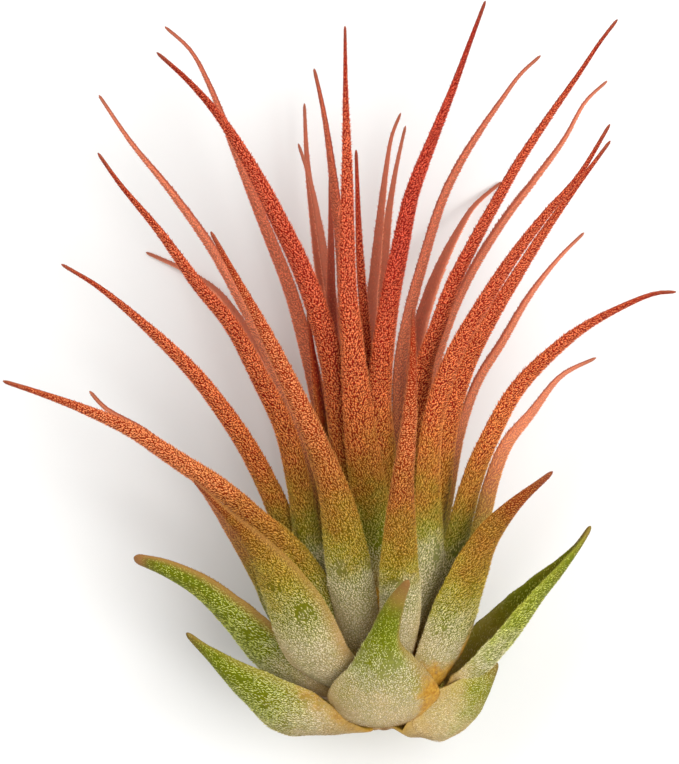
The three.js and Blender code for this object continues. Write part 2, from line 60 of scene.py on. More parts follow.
# The stem, as in the solids
STEM_FOOT = np.array([4.5, -35.4, 12])
STEM_AXIS = np.array([-0.09, 0.975, 0.2]) / np.linalg.norm([-0.09, 0.975, 0.2])
STEM_LENGTH = 17
STEM_FOOT_RADIUS = 2
STEM_RADIUS = 4.1
STEM_TOP_RADIUS = 1.9
STEM_SWELL = 0.4

# What the fine stem adds to it
STEM_RINGS = 60
STEM_ROUND = 72
STEM_HOLLOW = 0.35  # how far its foot is sunk in
STEM_DOME = 0.4  # and how far its growing point stands out
STEM_WAVES = (7, 11, 17, 23)  # its fibres, as waves round it
STEM_DRIFT = 0.12
STEM_RELIEF = 0.03  # of its radius
STEM_RAGGED = 0.25
STEM_SEED = 7

# The leaves' form, as in the solids
TIP_WIDTH = 0.5
TIP_THICKNESS = 0.55
BLADE_THICKNESS = 1.15
SHEATH_THINNING = 0.3
CHANNEL_DEPTH = 0.52
CHANNEL_FROM = 0.8
CHANNEL_OVER = 1.4
USUAL_TAPER = 0.85
USUAL_REACH = 17
SHEATH_PEAK = 0.42
ROOT_SHARE = 0.4
ROOT_WIDTH = 0.8
ROOT_OVER = 5
AXIS_LEAN = 0.5
TWIST_FROM = 1
USUAL_TURNED = 8
CLEARANCE = 0.3

# What the fine leaves add to it
CURVE_STEPS = 40  # between two points of a path
PROBES = 49  # round a section, to measure it
SAMPLES = 300  # along a leaf's middle line
STATION_STEP = 0.9
RING = 26  # points round a section
END_LENGTH = 0.7  # a tip closes over this length
END_STATIONS = np.array([0.6, 0.3, 0.12, 0.03, 0])  # the rings there
CLOSED = 1e-4  # the square of the width that is left at the end
FINE_TIP = dict(green=0.85, turning=0.66, red=0.56)  # the share of its width a tip keeps
FINE_FROM = 0.68  # and where along the leaf it starts to narrow
EDGE_THINNING = 0.5  # of a sheath's thin margins
ROOT_DEPTH = 1.2  # how far a root reaches into the stem
RIPPLE = 0.05  # how far a margin waves
RIPPLE_STEP = 4.5
RIPPLE_WIDTHS = (1.5, 5)  # of a leaf whose margin starts to wave and waves in full
OVERTONE = (0.6, 1.83)  # a second wave: its height and its pace
LEAF_SEED = 1000

# The scales that cover the leaves
SCALE_STEP = 0.212  # from row to row along a leaf
SCALE_SPACE = 0.172  # from scale to scale round it
SCALE_STRAY = (0.4, 0.35)  # how far one strays, as shares of these
FEWEST_SCALES = 4  # round a leaf
SCALE_LENGTH = (0.3, 0.38, 0.29)  # on the sheath, on the green blade and on the red
SCALE_WIDTH = (0.12, 0.105, 0.16)
SCALE_RISE = (0.06, 0.1, 0.12)
SCALE_SPREAD = ((0.75, 1.2), (0.8, 1.2), (0.6, 1.4))  # of these three, from scale to scale
SHEATH_ENDS = (0.14, 0.28)  # the flush over which the green blade's take over
RED_STARTS = (0.45, 0.65)
TIP_SCALES = (0.55, 14)  # the size of the last scales, and how far from the tip they shrink
SCALE_HIGHLIGHT = (0, 0.4, 0.4, 1)  # painted shade and highlight along a scale: its root takes the bare skin's darker colour, its two sides the scale's and its tip a painted highlight
SCALE_CORNERS = ((-0.5, 0), (-0.05, -0.5), (-0.05, 0.5), (0.5, 0))  # ahead and aside
SCALE_FACES = ((0, 1, 2), (1, 3, 2), (0, 3, 1), (0, 2, 3))
SCALE_SUNK = -0.015  # its root lies in the skin
SIDE_RISE = 0.02
EDGE_RISE = 0.35  # how much more the scales stand off along a margin
SCALE_TURN = 0.7  # radians
SCALE_FROM = 2.5  # the stretch in the stem's shade that has none
SCALE_TO = 0.15
INNER_SHARE = 0.42  # how many of its scales the hollow side of a leaf keeps
PROBE = 0.02  # a small step, for the skin's slope

# Where the scales are lost
BALD_FROM = 0.66  # of the slow pattern that says where a leaf has lost its scales
BALD_OVER = 0.2
BALD_SHARE = 0.68  # of its scales are gone there
BALD_STEP = 5.2
BALD_WANDER = ((1.6, 0.43), (1.4, 0.61))  # how far the pattern strays, and its pace
BALD_ACROSS = 4.2  # how often it goes from light to dark across a leaf
BALD_MIX = (0.3, 0.2)  # how much it goes across a leaf and along it
BALD_STARTS = (0.17, 0.24)  # the flush between which a leaf is patchy
BALD_ENDS = (0.3, 0.38)
TIP_BALD = 0.65  # of its scales an old leaf has lost towards its tip
TIP_BALD_FROM = (0.45, 0.9)
TIP_PATTERN = (0.2, 0.6)
BLADE_BALD = 0.3  # and on the rest of its blade
BLADE_BALD_FROM = (0.2, 0.28)
GOLDEN_BALD = 0.9  # and where a sheath is golden

# What a leaf looks like where its entry doesn't say
USUAL_FLUSH = dict(green=(3.5, 0.33), turning=(0, 0.72), red=(0, 1))
USUAL_DEEP = dict(green=0, turning=0.1, red=0.35)
USUAL_GOLDEN = 3.4
USUAL_FROST = (0.1, 9)


def grow(slot, around, up, sheath, blade, path, **own):
    """A leaf. As in the solids: its slot, its place round and up the stem, the width of its
    sheath and of its blade, and its middle from the stem to the tip. Its looks:
    - flush: how many millimetres early it turns, and how far it gets. 0.32 is green, 0.5
      orange-brown, 0.66 salmon and 1 red.
    - deep: how deep its red is, from salmon to crimson
    - pale: how much paler and flatter it is painted, as one of the leaves behind: partly painted
      light that lifts the shade of the leaves above it
    - frost: how thick the white frost on its sheath is, and how far from the stem it ends
    - golden: how far up its sheath it is bare and golden; golden_margin: how much one margin is
    - dry: how dry and tan its upper margin is; dry_tip: how long its tip is dry
    """
    usual = dict(
        facing=around, reach=USUAL_REACH, turned=USUAL_TURNED, taper=USUAL_TAPER,
        flush=USUAL_FLUSH[slot], deep=USUAL_DEEP[slot], pale=0, frost=USUAL_FROST,
        golden=USUAL_GOLDEN, golden_margin=0, dry=0, dry_tip=0,
    )
    shape = dict(slot=slot, around=around, up=up, sheath=sheath, blade=blade, path=path)
    return {**usual, **shape, **own}


LEAVES = dict(
    low_left=grow("green", 303, 0.6, 9.4, 6.5, facing=336, reach=19, flush=(0.5, 0.33),
        frost=(0.45, 9), golden=1, golden_margin=0.45, dry=0.25,
        path=[(-1.6, -35.9, 16.4), (-4.55, -34.6, 17), (-7.15, -33, 17.2), (-9.4, -31.5, 17),
        (-11.4, -29.9, 16.8), (-13.3, -28.05, 16.5), (-15.35, -26.15, 16.2)]),
    low_right=grow("green", 46, 0.6, 10.4, 6, facing=40, reach=16, turned=3.5, flush=(-1, 0.28),
        golden=1,
        path=[(7.4, -36.1, 15.5), (9.4, -35.85, 16.2), (11.62, -34.5, 16.2), (13.45, -32.9, 15.8),
        (14.8, -31.2, 15.1), (15.85, -29.2, 14.2)]),
    low_front=grow("green", 358, 2, 12, 4.6, reach=16, taper=0.6, flush=(-1.5, 0.4),
        frost=(0.64, 13.5), golden=1.2, golden_margin=1, dry=0.5, dry_tip=5,
        path=[(4.5, -35.1, 19.3), (4.5, -33.4, 22.2), (4.5, -30.6, 24.6), (4.3, -27.8, 26.2),
        (4.8, -25.4, 27.6), (5.8, -22.6, 29.6), (6.85, -20.7, 31.6)]),
    left=grow("green", 291, 3.3, 8.6, 7.2, facing=328, reach=20, tip=1.1, flush=(2, 0.33),
        frost=(0.5, 10), dry=0.85, dry_tip=1.4,
        path=[(-3.2, -31.5, 15.8), (-6.95, -28.25, 16.8), (-9.75, -25.6, 17), (-14.15, -21.8, 17),
        (-17.5, -19.9, 16.6), (-20.6, -18.6, 16)]),
    right=grow("green", 86, 3.3, 9.4, 5.3, facing=96, reach=23, taper=0.66, channel=0.68,
        frost=(0.55, 13),
        path=[(9.8, -32.6, 13.8), (12.7, -31.4, 14.2), (14.75, -29.5, 14.5), (16.6, -27.5, 14.8),
        (18.4, -25.1, 15.2), (20.35, -22.25, 15.6), (22.2, -19.9, 15.9), (24, -17.35, 16),
        (25.15, -15.45, 16)]),
    fore_left=grow("turning", 330, 4.8, 8.2, 4.2, facing=340, reach=27, flush=(-4, 0.62),
        frost=(0.58, 13), golden=3, golden_margin=0.3, dry=0.55,
        path=[(0.2, -31.2, 19.8), (-2.45, -28.35, 22.8), (-3.95, -24.85, 24.4), (-5.45, -21.85, 25.6),
        (-7.75, -18.35, 27), (-9.95, -15.55, 28.4), (-12.45, -12.85, 29.8), (-14.45, -10.85, 31)]),
    fore_right=grow("turning", 44, 4.6, 7.4, 4.9, facing=34, reach=26, taper=0.62, flush=(-1, 0.58),
        frost=(0.6, 11), golden=7.5, golden_margin=0.9,
        path=[(8.4, -31.8, 17.2), (10.4, -28.4, 19.6), (11.78, -23.85, 21.4), (13.35, -19.85, 22.6),
        (14.85, -16.85, 23.4), (18.05, -12.85, 24.2), (21.25, -9.95, 24.8)]),
    under_right=grow("green", 134, 1.8, 7.2, 4.2, reach=15,
        path=[(8.9, -33.6, 7.2), (12.2, -31.2, 4.4), (15.4, -28, 1.9), (18.4, -24.4, 0.15)]),
    under_mid_right=grow("green", 158, 4.2, 7, 3.6, reach=17,
        path=[(6.9, -30.8, 6.2), (8.5, -27.6, 4.4), (10, -23.6, 3.2), (11.4, -19.4, 2.5)]),
    under_mid=grow("green", 184, 0.6, 9.6, 3.6, reach=18,
        path=[(3.6, -34.2, 5.4), (3.4, -31, 2.2), (3.1, -26.8, 0.2), (2.8, -22, 0.8),
        (2.7, -18, 1.8)]),
    under_mid_left=grow("green", 210, 4.2, 7, 3.6, reach=17,
        path=[(0.2, -30.6, 6.4), (-2.2, -27.6, 4.8), (-4.4, -23.6, 3.6), (-6.8, -19.4, 2.8)]),
    under_left=grow("green", 229, 1.8, 7.2, 4.2, reach=15,
        path=[(-0.8, -33.4, 7.2), (-4.6, -30.9, 4.4), (-8.3, -27.3, 1.9), (-11.8, -23.3, 0.15)]),
    long_left=grow("turning", 300, 5.6, 7, 4.2, facing=326, reach=17, flush=(0, 0.85),
        path=[(-0.6, -27.6, 18.4), (-3.3, -21.5, 20.2), (-5.4, -17.8, 21), (-8.15, -15.4, 21.3),
        (-12.05, -11.9, 21.4), (-16.5, -8.9, 21.2), (-20.95, -5.9, 20.8), (-25.95, -3.6, 20.2),
        (-29.95, -2.15, 19.8), (-33.65, -0.95, 19.5)]),
    under_long_left=grow("turning", 262, 5.2, 6.6, 3, facing=290, reach=15, flush=(0, 0.8), pale=0.5,
        path=[(-2.6, -27.6, 12.6), (-6.5, -24.7, 12.8), (-8.1, -21.2, 13), (-10.4, -16.95, 13.6),
        (-14.35, -10.7, 14.4), (-19.45, -6.05, 15), (-23.45, -3.65, 15.3), (-25.05, -1.95, 15.4)]),
    left_1=grow("red", 282, 7.4, 5.8, 4, facing=316, reach=15, deep=0.1, frost=(0.5, 10),
        path=[(-1.8, -24, 15.6), (-4.4, -18.7, 16.4), (-5.9, -15.3, 17), (-7.32, -11.87, 17.4),
        (-9.6, -7.45, 17.8), (-12.6, -2.95, 18), (-15.1, 0.2, 18), (-19.05, 4.2, 17.8),
        (-23.95, 8.35, 17.4), (-27.85, 10.75, 17)]),
    left_2=grow("red", 298, 9.2, 5, 3.4, facing=324, reach=13, flush=(-1, 1), frost=(0.75, 11),
        path=[(-1.2, -22, 18), (-3.2, -18.2, 19.4), (-3.75, -14.85, 20), (-4.45, -10.85, 20.4),
        (-5.7, -5.85, 20.7), (-8.05, -0.85, 21), (-10.95, 4.65, 21), (-13.95, 8.35, 20.9),
        (-17.95, 13.95, 20.6), (-21.95, 18.75, 20.3), (-24.15, 21.85, 20)]),
    fore_left_2=grow("turning", 343, 7, 5.4, 3.6, reach=28, flush=(-2, 0.85), frost=(0.85, 12),
        path=[(2.2, -27.4, 20), (1.35, -22.85, 23), (0.55, -17.85, 25), (-0.45, -12.85, 26.8),
        (-1.45, -9.85, 27.6), (-2.75, -6.35, 29), (-5.4, -0.35, 31.4), (-7.8, 4.75, 33.2),
        (-10.25, 9.3, 34.8), (-12.75, 13.85, 36.4)]),
    back_left_1=grow("red", 262, 9, 5, 2.8, facing=296, reach=14, pale=0.45,
        path=[(-0.6, -22, 14.2), (-2.2, -16, 14.6), (-2.95, -12.5, 14.8), (-4.45, -5.85, 15),
        (-6.95, 1.15, 14.8), (-9.95, 7.15, 14.4), (-12.95, 12.55, 14), (-16.95, 18.15, 13.4),
        (-20.95, 23.05, 12.6), (-24.15, 27.75, 12)]),
    back_left_2=grow("red", 236, 6, 6.6, 2.8, reach=16, pale=0.9,
        path=[(-0.4, -27, 9.4), (-2.6, -20, 7.6), (-3.4, -12, 7.4), (-5, -4, 6.6), (-6.95, 0.15, 5.6),
        (-8.45, 2.65, 4.8), (-10.45, 5.65, 3.6), (-12.45, 8.15, 2.4), (-15.45, 10.15, 0.9),
        (-19.55, 12.05, 0.1)]),
    back_left_3=grow("red", 246, 10.2, 4.6, 3.8, facing=290, reach=13, deep=0.55, pale=0.35,
        path=[(0.6, -20, 12.6), (-0.7, -12, 13), (-2.05, -4.35, 13.2), (-3.48, 2.15, 13.2),
        (-5.12, 8.15, 13), (-7.8, 15.15, 12.6), (-10.65, 22.6, 12), (-12.9, 28.4, 11.4),
        (-14.95, 32.25, 11), (-17.55, 34.65, 10.8)]),
    left_3=grow("red", 325, 11.6, 2.8, 3.1, facing=340, taper=0.65, deep=0.7,
        path=[(1.7, -18, 17.6), (1.1, -13, 19), (0.4, -8.4, 20.4), (0, -5, 21.2), (-0.75, 0.15, 22),
        (-2.2, 5.65, 22.8), (-4.05, 10.6, 23.2), (-6.15, 15.1, 23.4), (-8.65, 20.05, 23.4),
        (-11.9, 25.3, 23.1), (-14.95, 28.85, 22.7), (-18.25, 31.85, 22.2)]),
    back_1=grow("red", 200, 7.6, 5.6, 2.4, reach=15, pale=0.8,
        path=[(2, -24, 8.2), (1.4, -16, 6), (0.6, -6, 5.4), (-0.8, 4.15, 5.4), (-1.55, 8.15, 5.4),
        (-2.45, 14.65, 5), (-3.25, 21.15, 4.4), (-3.55, 27.05, 4)]),
    back_2=grow("red", 190, 9.2, 4.6, 2, reach=14, pale=0.9,
        path=[(2.8, -20, 9.6), (1.8, -10, 8.8), (0, 2, 8.6), (-1.6, 12, 8.2), (-2.9, 19, 7.6),
        (-4.15, 22.95, 7.2)]),
    mid_left=grow("red", 300, 13.4, 2.2, 2.6, taper=0.7, deep=0.5, pale=0.2,
        path=[(2, -16.5, 16.2), (1.3, -8, 17.6), (0.9, 0, 18.8), (0.55, 5.15, 19.8),
        (0.15, 12.15, 20.6), (-0.6, 19.15, 21.2), (-1.45, 25.15, 21.4), (-2.05, 28.15, 21.4),
        (-2.55, 30.25, 21.4)]),
    back_mid=grow("red", 215, 11.8, 2.2, 2, deep=0.7, pale=0.4,
        path=[(1.8, -17, 12.6), (1, -8, 14.4), (-0.2, -2, 15.4), (-0.55, 1.15, 15.8),
        (-0.85, 7.15, 16.2), (-0.85, 13.15, 16.4), (-0.95, 19.65, 16.2)]),
    middle=grow("red", 2, 12.4, 4.2, 3.2, reach=34, taper=1.05, deep=0.5,
        path=[(3.9, -18, 19.4), (3.4, -14.85, 20.8), (2.75, -10.85, 22.4), (2.15, -6.85, 23.6),
        (1.75, -2.85, 24.4), (1.25, 3.15, 25), (0.85, 8, 25.2), (0.75, 14, 25.3), (0.75, 20, 25.3),
        (0.6, 28, 25.2), (0.55, 34.45, 25)]),
    middle_thin=grow("red", 30, 15, 1.4, 1.3, deep=0.6,
        path=[(3.6, -14, 17), (3.2, -4, 18.2), (2.75, 2.15, 19.2), (2.05, 11.15, 20.2),
        (1.75, 19.15, 20.8), (1.65, 22.15, 21)]),
    back_right_1=grow("red", 165, 10.6, 2, 1.8, pale=0.8,
        path=[(4.2, -18, 11.4), (3.9, -8, 12.4), (3.4, 0, 13), (3.25, 7.15, 13.4),
        (3.55, 10.15, 13.4), (4.05, 15.15, 13.3), (4.65, 20.15, 13), (5.25, 23.65, 12.7),
        (6.15, 25.95, 12.4)]),
    back_right_2=grow("red", 168, 7.2, 5.6, 2, reach=15, pale=0.9,
        path=[(5.2, -24, 7.8), (4.8, -14, 6.2), (4.3, -2, 6.2), (4.3, 8, 6.6), (4.85, 15.15, 6.6),
        (5.45, 19.15, 6.4), (6.05, 22.15, 6.2), (6.65, 24.75, 6)]),
    right_1=grow("red", 38, 12, 2.6, 3.7, taper=0.85, deep=1,
        path=[(5.4, -17, 18.4), (4.8, -11, 19.8), (4.35, -5.85, 21.2), (4.2, -2.85, 21.8),
        (4.7, 3.15, 23), (5.25, 7.15, 23.6), (6.1, 11.6, 24.1), (7.3, 17.6, 24.6), (9.2, 22.9, 24.8),
        (11.15, 27.8, 24.8), (13.05, 32.95, 24.5), (14.55, 36.95, 24)]),
    right_back_1=grow("red", 105, 11.4, 2.4, 2.9, facing=70, deep=0.6, pale=0.45,
        path=[(5.9, -18, 15), (6.2, -10, 16), (6.15, -3, 16.6), (6.25, 1, 17), (7, 5.6, 17.2),
        (8.05, 9.75, 17.3), (10.25, 17.05, 17.2), (12.25, 21.2, 17), (14.2, 24.3, 16.8),
        (16.15, 27.1, 16.5), (18.1, 29.75, 16.2), (20.15, 31.65, 16)]),
    right_2=grow("red", 72, 10.4, 3, 3.6, facing=48, taper=1.1, deep=0.6,
        path=[(7, -18, 17.6), (7.9, -11, 18.8), (8.3, -4, 20.2), (8.75, 0.65, 21.4),
        (10.05, 4.65, 22), (11.35, 8.45, 22.4), (13.35, 12.65, 22.8), (16.05, 17.65, 23),
        (18.05, 21.15, 23), (21.05, 25.65, 22.8), (24.05, 29.95, 22.5), (26.05, 32.95, 22.2),
        (27.75, 35.15, 22)]),
    right_back_2=grow("red", 115, 9.4, 4.4, 2.3, facing=84, reach=13, pale=0.6,
        path=[(7, -20, 12.4), (7.8, -12, 13), (8.6, -4, 13.6), (10.6, 4, 14.2), (13.05, 9.65, 14.6),
        (16.55, 15.35, 14.8), (19.85, 19.65, 14.7), (22.55, 23.35, 14.5), (24.65, 27.05, 14.2),
        (26.85, 29.15, 14)]),
    back_right_3=grow("red", 146, 7, 6.2, 3, reach=15, pale=0.8,
        path=[(6.6, -25, 9.2), (7.2, -16, 7.4), (7, -6, 7.2), (7.95, 3.65, 6.8), (8.95, 7.35, 6),
        (10.35, 11, 4.8), (12.2, 14.6, 2.8), (13.65, 16.8, 1.2), (16.35, 19.15, 0.1)]),
    right_front_1=grow("red", 46, 7.6, 3.8, 3.25, facing=32, reach=30, flush=(-2, 1), deep=0.45,
        frost=(0.85, 13),
        path=[(7.9, -25.4, 18.6), (9, -20.6, 20.8), (9.05, -16.85, 22), (8.95, -12.85, 22.9),
        (9.05, -8.85, 23.6), (9.55, -4.85, 24.2), (11.35, 1.1, 25), (14.95, 7.7, 25.6),
        (17.85, 12.15, 25.8), (20.8, 15.95, 25.7), (23.7, 19.3, 25.4), (26.95, 24.65, 24.8)]),
    right_front_2=grow("red", 74, 8.8, 5, 3.6, facing=48, reach=13,
        path=[(8.2, -22.5, 16.4), (9.3, -17, 17.6), (10.3, -11.85, 18.4), (11.05, -5.85, 19.6),
        (12.8, 0.2, 20.6), (15.25, 5.25, 21.2), (17.95, 9.9, 21.5), (20.5, 14, 21.6),
        (23.05, 17.65, 21.6), (27.05, 23.05, 21.3)]),
    right_back_3=grow("red", 108, 7.6, 5.8, 2.6, facing=78, reach=14, pale=0.6,
        path=[(8.4, -25, 12.6), (10, -18, 13.2), (11.05, -11.85, 13.6), (12.15, -5.9, 13.8),
        (13.8, -1.1, 13.8), (16.3, 3, 13.6), (19.05, 7.65, 13.2), (22.05, 11.45, 12.7),
        (24.55, 13.95, 12.4)]),
    right_3=grow("red", 80, 6.2, 6.4, 4.2, facing=48, reach=15, flush=(-2, 1), frost=(0.8, 13),
        path=[(9, -27, 15.6), (10.9, -22.5, 17.9), (11.75, -18.8, 19), (12.65, -14.5, 19.7),
        (13.85, -10.15, 20.1), (15.55, -6.15, 20.4), (17.75, -2.1, 20.4), (20.7, 1.25, 20.6),
        (24.15, 4.2, 20.6), (28.05, 6.4, 20.4), (31.55, 7.8, 20.2), (33.65, 7.95, 20)]),
    right_4=grow("red", 106, 5.8, 6.4, 4.2, facing=62, reach=15, flush=(-2, 1), pale=0.6,
        path=[(9.2, -29.4, 12), (12.3, -23, 12.6), (14.3, -16, 13), (15.65, -10.5, 13.2),
        (16.95, -7.25, 13.2), (19.3, -4.15, 13.1), (22.2, -0.45, 12.9), (25.75, 1.4, 12.7)]),
    fore_right_2=grow("turning", 12, 5.4, 4.9, 3.2, reach=30, flush=(-3, 0.85), frost=(0.95, 13.5),
        path=[(5.6, -28.6, 20.6), (6.05, -25.4, 23.6), (6.1, -22.4, 25.6), (5.95, -19.85, 27.2),
        (6.05, -16.85, 28.9), (6.35, -10.85, 31.8), (6.75, -6.85, 33.6), (7.15, -0.85, 36.6),
        (7.25, 2.5, 38.6), (7.25, 6.15, 40.6)]),
    heart_1=grow("red", 140, 14.6, 2.4, 2, reach=12,
        path=[(4.9, -16, 15), (4.6, -8, 15.2), (4.8, -1, 14.9), (5.2, 6, 14.6)]),
    heart_2=grow("red", 250, 14.2, 2.4, 2, reach=12,
        path=[(0.6, -16, 15.4), (-1.3, -8, 16.6), (-2.3, -1, 17.4), (-3.2, 6, 18)]),
)

# Colour goes by the distance from the stem over this length
FLUSH_LENGTH = 40
FLUSH_BEND = 3  # how sharply it stops
EARLY_OVER = (3, 10)  # a leaf turns early from here on
YOUNG_FROM = 7  # up the stem; each millimetre above it, a leaf turns half of one early

# Where a leaf's looks begin and end: an edge by the cosine of the angle, 1 at its middle,
# and the rest by millimetres from the stem or the tip
FROST_RISE = (1.5, 4.5)
FROST_OVER = 4
GOLDEN_EDGE = (0.4, 0.85)
GOLDEN_ENDS = (7, 12)
DRY_EDGE = (0.55, 0.97)
DRY_STARTS = (5, 9)
HOLLOW_FACE = (-0.2, 0.3)  # by the sine
HOLLOW_ENDS = (10, 16)
END_STAIN = (3.2, 0.2)  # a tip is brown


def smoothstep(value, low, high):
    share = np.clip((np.asarray(value, float) - low) / (high - low), 0, 1)
    return share * share * (3 - 2 * share)


def lerp(start, end, share):
    return start + (end - start) * share


def unit(vectors):
    return vectors / np.linalg.norm(vectors, axis=-1, keepdims=True)


# Directions about the stem
RIGHT = unit(np.cross(STEM_AXIS, [0, 0, 1]))
UPPER = unit(np.cross(RIGHT, STEM_AXIS))


def outward(around):
    turn = math.radians(around)
    return UPPER * math.cos(turn) + RIGHT * math.sin(turn)


def stem_radius(up):
    share = np.clip(up / STEM_LENGTH, 0, 1)
    swell = smoothstep(share, -STEM_SWELL / 2, STEM_SWELL)
    lower = lerp(STEM_FOOT_RADIUS, STEM_RADIUS, swell)
    return lerp(lower, STEM_TOP_RADIUS, share * share)


def centripetal(points):
    """Points along the curve that the solids follow."""
    points = np.array(points, float)
    ends = 2 * points[0] - points[1], 2 * points[-1] - points[-2]
    padded = np.vstack([ends[0], points, ends[1]])
    pieces = []
    for p0, p1, p2, p3 in zip(padded, padded[1:], padded[2:], padded[3:]):
        d0, d1, d2 = (np.linalg.norm(b - a) ** 0.5 for a, b in ((p0, p1), (p1, p2), (p2, p3)))
        leave = ((p1 - p0) / d0 - (p2 - p0) / (d0 + d1) + (p2 - p1) / d1) * d1
        arrive = ((p2 - p1) / d1 - (p3 - p1) / (d1 + d2) + (p3 - p2) / d2) * d1
        t = np.linspace(0, 1, CURVE_STEPS, endpoint=False)[:, None]
        square = (3 * (p2 - p1) - 2 * leave - arrive) * t**2
        cube = (2 * (p1 - p2) + leave + arrive) * t**3
        pieces.append(p1 + leave * t + square + cube)
    return np.vstack(pieces + [points[-1:]])


def middle_line(leaf):
    """A leaf's middle line in even steps, and its length."""
    away = stem_radius(leaf["up"]) + CLEARANCE + BLADE_THICKNESS / 2
    seat = STEM_FOOT + STEM_AXIS * leaf["up"] + outward(leaf["around"]) * away
    dense = centripetal([seat, *leaf["path"]])
    steps = np.linalg.norm(np.diff(dense, axis=0), axis=1)
    travelled = np.concatenate([[0], np.cumsum(steps)])
    wanted = np.linspace(0, travelled[-1], SAMPLES)
    line = np.stack([np.interp(wanted, travelled, dense[:, k]) for k in range(3)], axis=1)
    return line, travelled[-1]


def inner_side(leaf, along, distance):
    """The way the inner face looks: across the stem at the root, then to the crown."""
    across = np.cross(STEM_AXIS, outward(leaf["around"]))
    at_root = unit(np.cross(along, across))
    above = STEM_AXIS * AXIS_LEAN - outward(leaf["facing"])
    above = above - along * (along @ above)[:, None]
    twist = smoothstep(distance, TWIST_FROM, leaf["turned"])[:, None]
    return unit(lerp(at_root, unit(above), twist))


def sheath_share(leaf, distance):
    reach = leaf["reach"]
    peak = reach * SHEATH_PEAK
    rise = lerp(ROOT_SHARE, 1, smoothstep(distance, 0, peak))
    past = np.clip((distance - peak) / (reach - peak), 0, 1)
    return np.where(distance < peak, rise, np.cos(math.pi / 2 * past) ** 2)


def channel_depth(leaf, line, width, sheath):
    """How deep a leaf is channelled: a blade by its width, a sheath by the stem it clasps."""
    channelled = smoothstep(width, CHANNEL_FROM, CHANNEL_FROM + CHANNEL_OVER)
    from_foot = line - STEM_FOOT
    from_axis = from_foot - STEM_AXIS * (from_foot @ STEM_AXIS)[:, None]
    axis_distance = np.maximum(np.linalg.norm(from_axis, axis=1), STEM_TOP_RADIUS)
    blade_depth = leaf.get("channel", CHANNEL_DEPTH) * width / 2 * channelled
    clasp = width**2 / 8 / axis_distance
    return lerp(blade_depth, np.maximum(clasp, leaf.get("channel", 0) * width / 2), sheath)


def ripples(distance, width, rng):
    """How far a leaf's two margins wave."""
    phase = rng.uniform(0, 2 * math.pi, 4)
    turn = distance / RIPPLE_STEP * 2 * math.pi
    height, pace = OVERTONE
    waves = [np.sin(turn + phase[k]) + height * np.sin(turn * pace + phase[k + 2]) for k in (0, 1)]
    reach = RIPPLE * smoothstep(width, *RIPPLE_WIDTHS)
    return waves[0] * reach, waves[1] * reach


def leaf_form(leaf, rng):
    """Everything that a leaf's sections need, sampled along its middle line."""
    line, length = middle_line(leaf)
    share = np.linspace(0, 1, SAMPLES)
    distance = share * length
    along = unit(np.gradient(line, axis=0))
    inner = inner_side(leaf, along, distance)

    sheath = sheath_share(leaf, distance)
    blade = (1 - share) ** leaf["taper"]
    tip = leaf.get("tip", TIP_WIDTH)
    full = tip + (leaf["blade"] - tip) * blade + (leaf["sheath"] - leaf["blade"]) * sheath
    open_ = smoothstep(distance, 0, ROOT_OVER)
    width = full * lerp(ROOT_WIDTH, 1, open_)
    thick = TIP_THICKNESS + (BLADE_THICKNESS - TIP_THICKNESS) * blade - SHEATH_THINNING * sheath
    depth = open_ * channel_depth(leaf, line, width, sheath)

    last = 1 if "tip" in leaf else FINE_TIP[leaf["slot"]]
    narrow = lerp(1, last, smoothstep(share, FINE_FROM, 1))
    left, right = ripples(distance, width, rng)
    return dict(
        length=length, share=share, centre=line, inner=inner, side=np.cross(along, inner),
        half=width / 2 * narrow, depth=depth * narrow, thickness=thick * narrow, sheath=sheath,
        left=left, right=right,
    )


def along_leaf(form, name, share):
    values = form[name]
    if values.ndim == 1:
        return np.interp(share, form["share"], values)
    return np.stack([np.interp(share, form["share"], values[:, k]) for k in range(3)], axis=-1)


def skin(form, share, angle):
    """Places on a leaf's skin. The angle turns round a section: 0 is the left edge, a
    quarter turn the middle of the outer face and a half turn the right edge."""
    share, angle = np.broadcast_arrays(share, angle)
    names = "centre side inner half depth thickness sheath left right".split()
    centre, side, inner, half, depth, thickness, sheath, left, right = (
        along_leaf(form, name, share) for name in names)
    end = np.clip(1 - (1 - share) * form["length"] / END_LENGTH, 0, 1)
    close = np.sqrt(np.clip(1 - end**2, CLOSED, 1))
    half, depth = half * close, depth * close
    place = -np.cos(angle)
    bulge = -np.sin(angle) * np.sqrt(1 + place**2) * (1 - EDGE_THINNING * sheath * place**2)
    offset = thickness / 2 * close * bulge
    slope = 2 * depth * place / half
    lean = np.hypot(slope, 1)
    sideways = place * half - offset * slope / lean
    wave = np.where(place < 0, left, right)
    inwards = depth * place**2 + offset / lean + wave * place**4
    return centre + side * sideways[..., None] + inner * inwards[..., None]


def stations_of(form):
    """Shares along a leaf at which its skin has a ring, closer together at the tip."""
    end = END_LENGTH / form["length"]
    even = np.linspace(0, 1 - end, round(form["length"] / STATION_STEP))
    return np.concatenate([even, 1 - end * END_STATIONS])


# What the leaf material asks about each place
def flush_of(leaf, distance):
    early, most = leaf["flush"]
    early = early + max(leaf["up"] - YOUNG_FROM, 0) / 2
    shifted = distance + early * smoothstep(distance, *EARLY_OVER)
    flush = np.clip(shifted / FLUSH_LENGTH, 0, 1)
    return most * (1 - np.exp(-((flush / most) ** FLUSH_BEND))) ** (1 / FLUSH_BEND)


def dry_of(leaf, form, distance, angle):
    """How dry a place is: a leaf may have one dry margin and a cut, dry tip."""
    margin = smoothstep(np.cos(angle), *DRY_EDGE) * smoothstep(distance, *DRY_STARTS)
    dry = leaf["dry_tip"]
    tip = smoothstep(form["length"] - distance, dry, dry / 2) if dry else 0
    return leaf["dry"] * np.maximum(margin, tip)


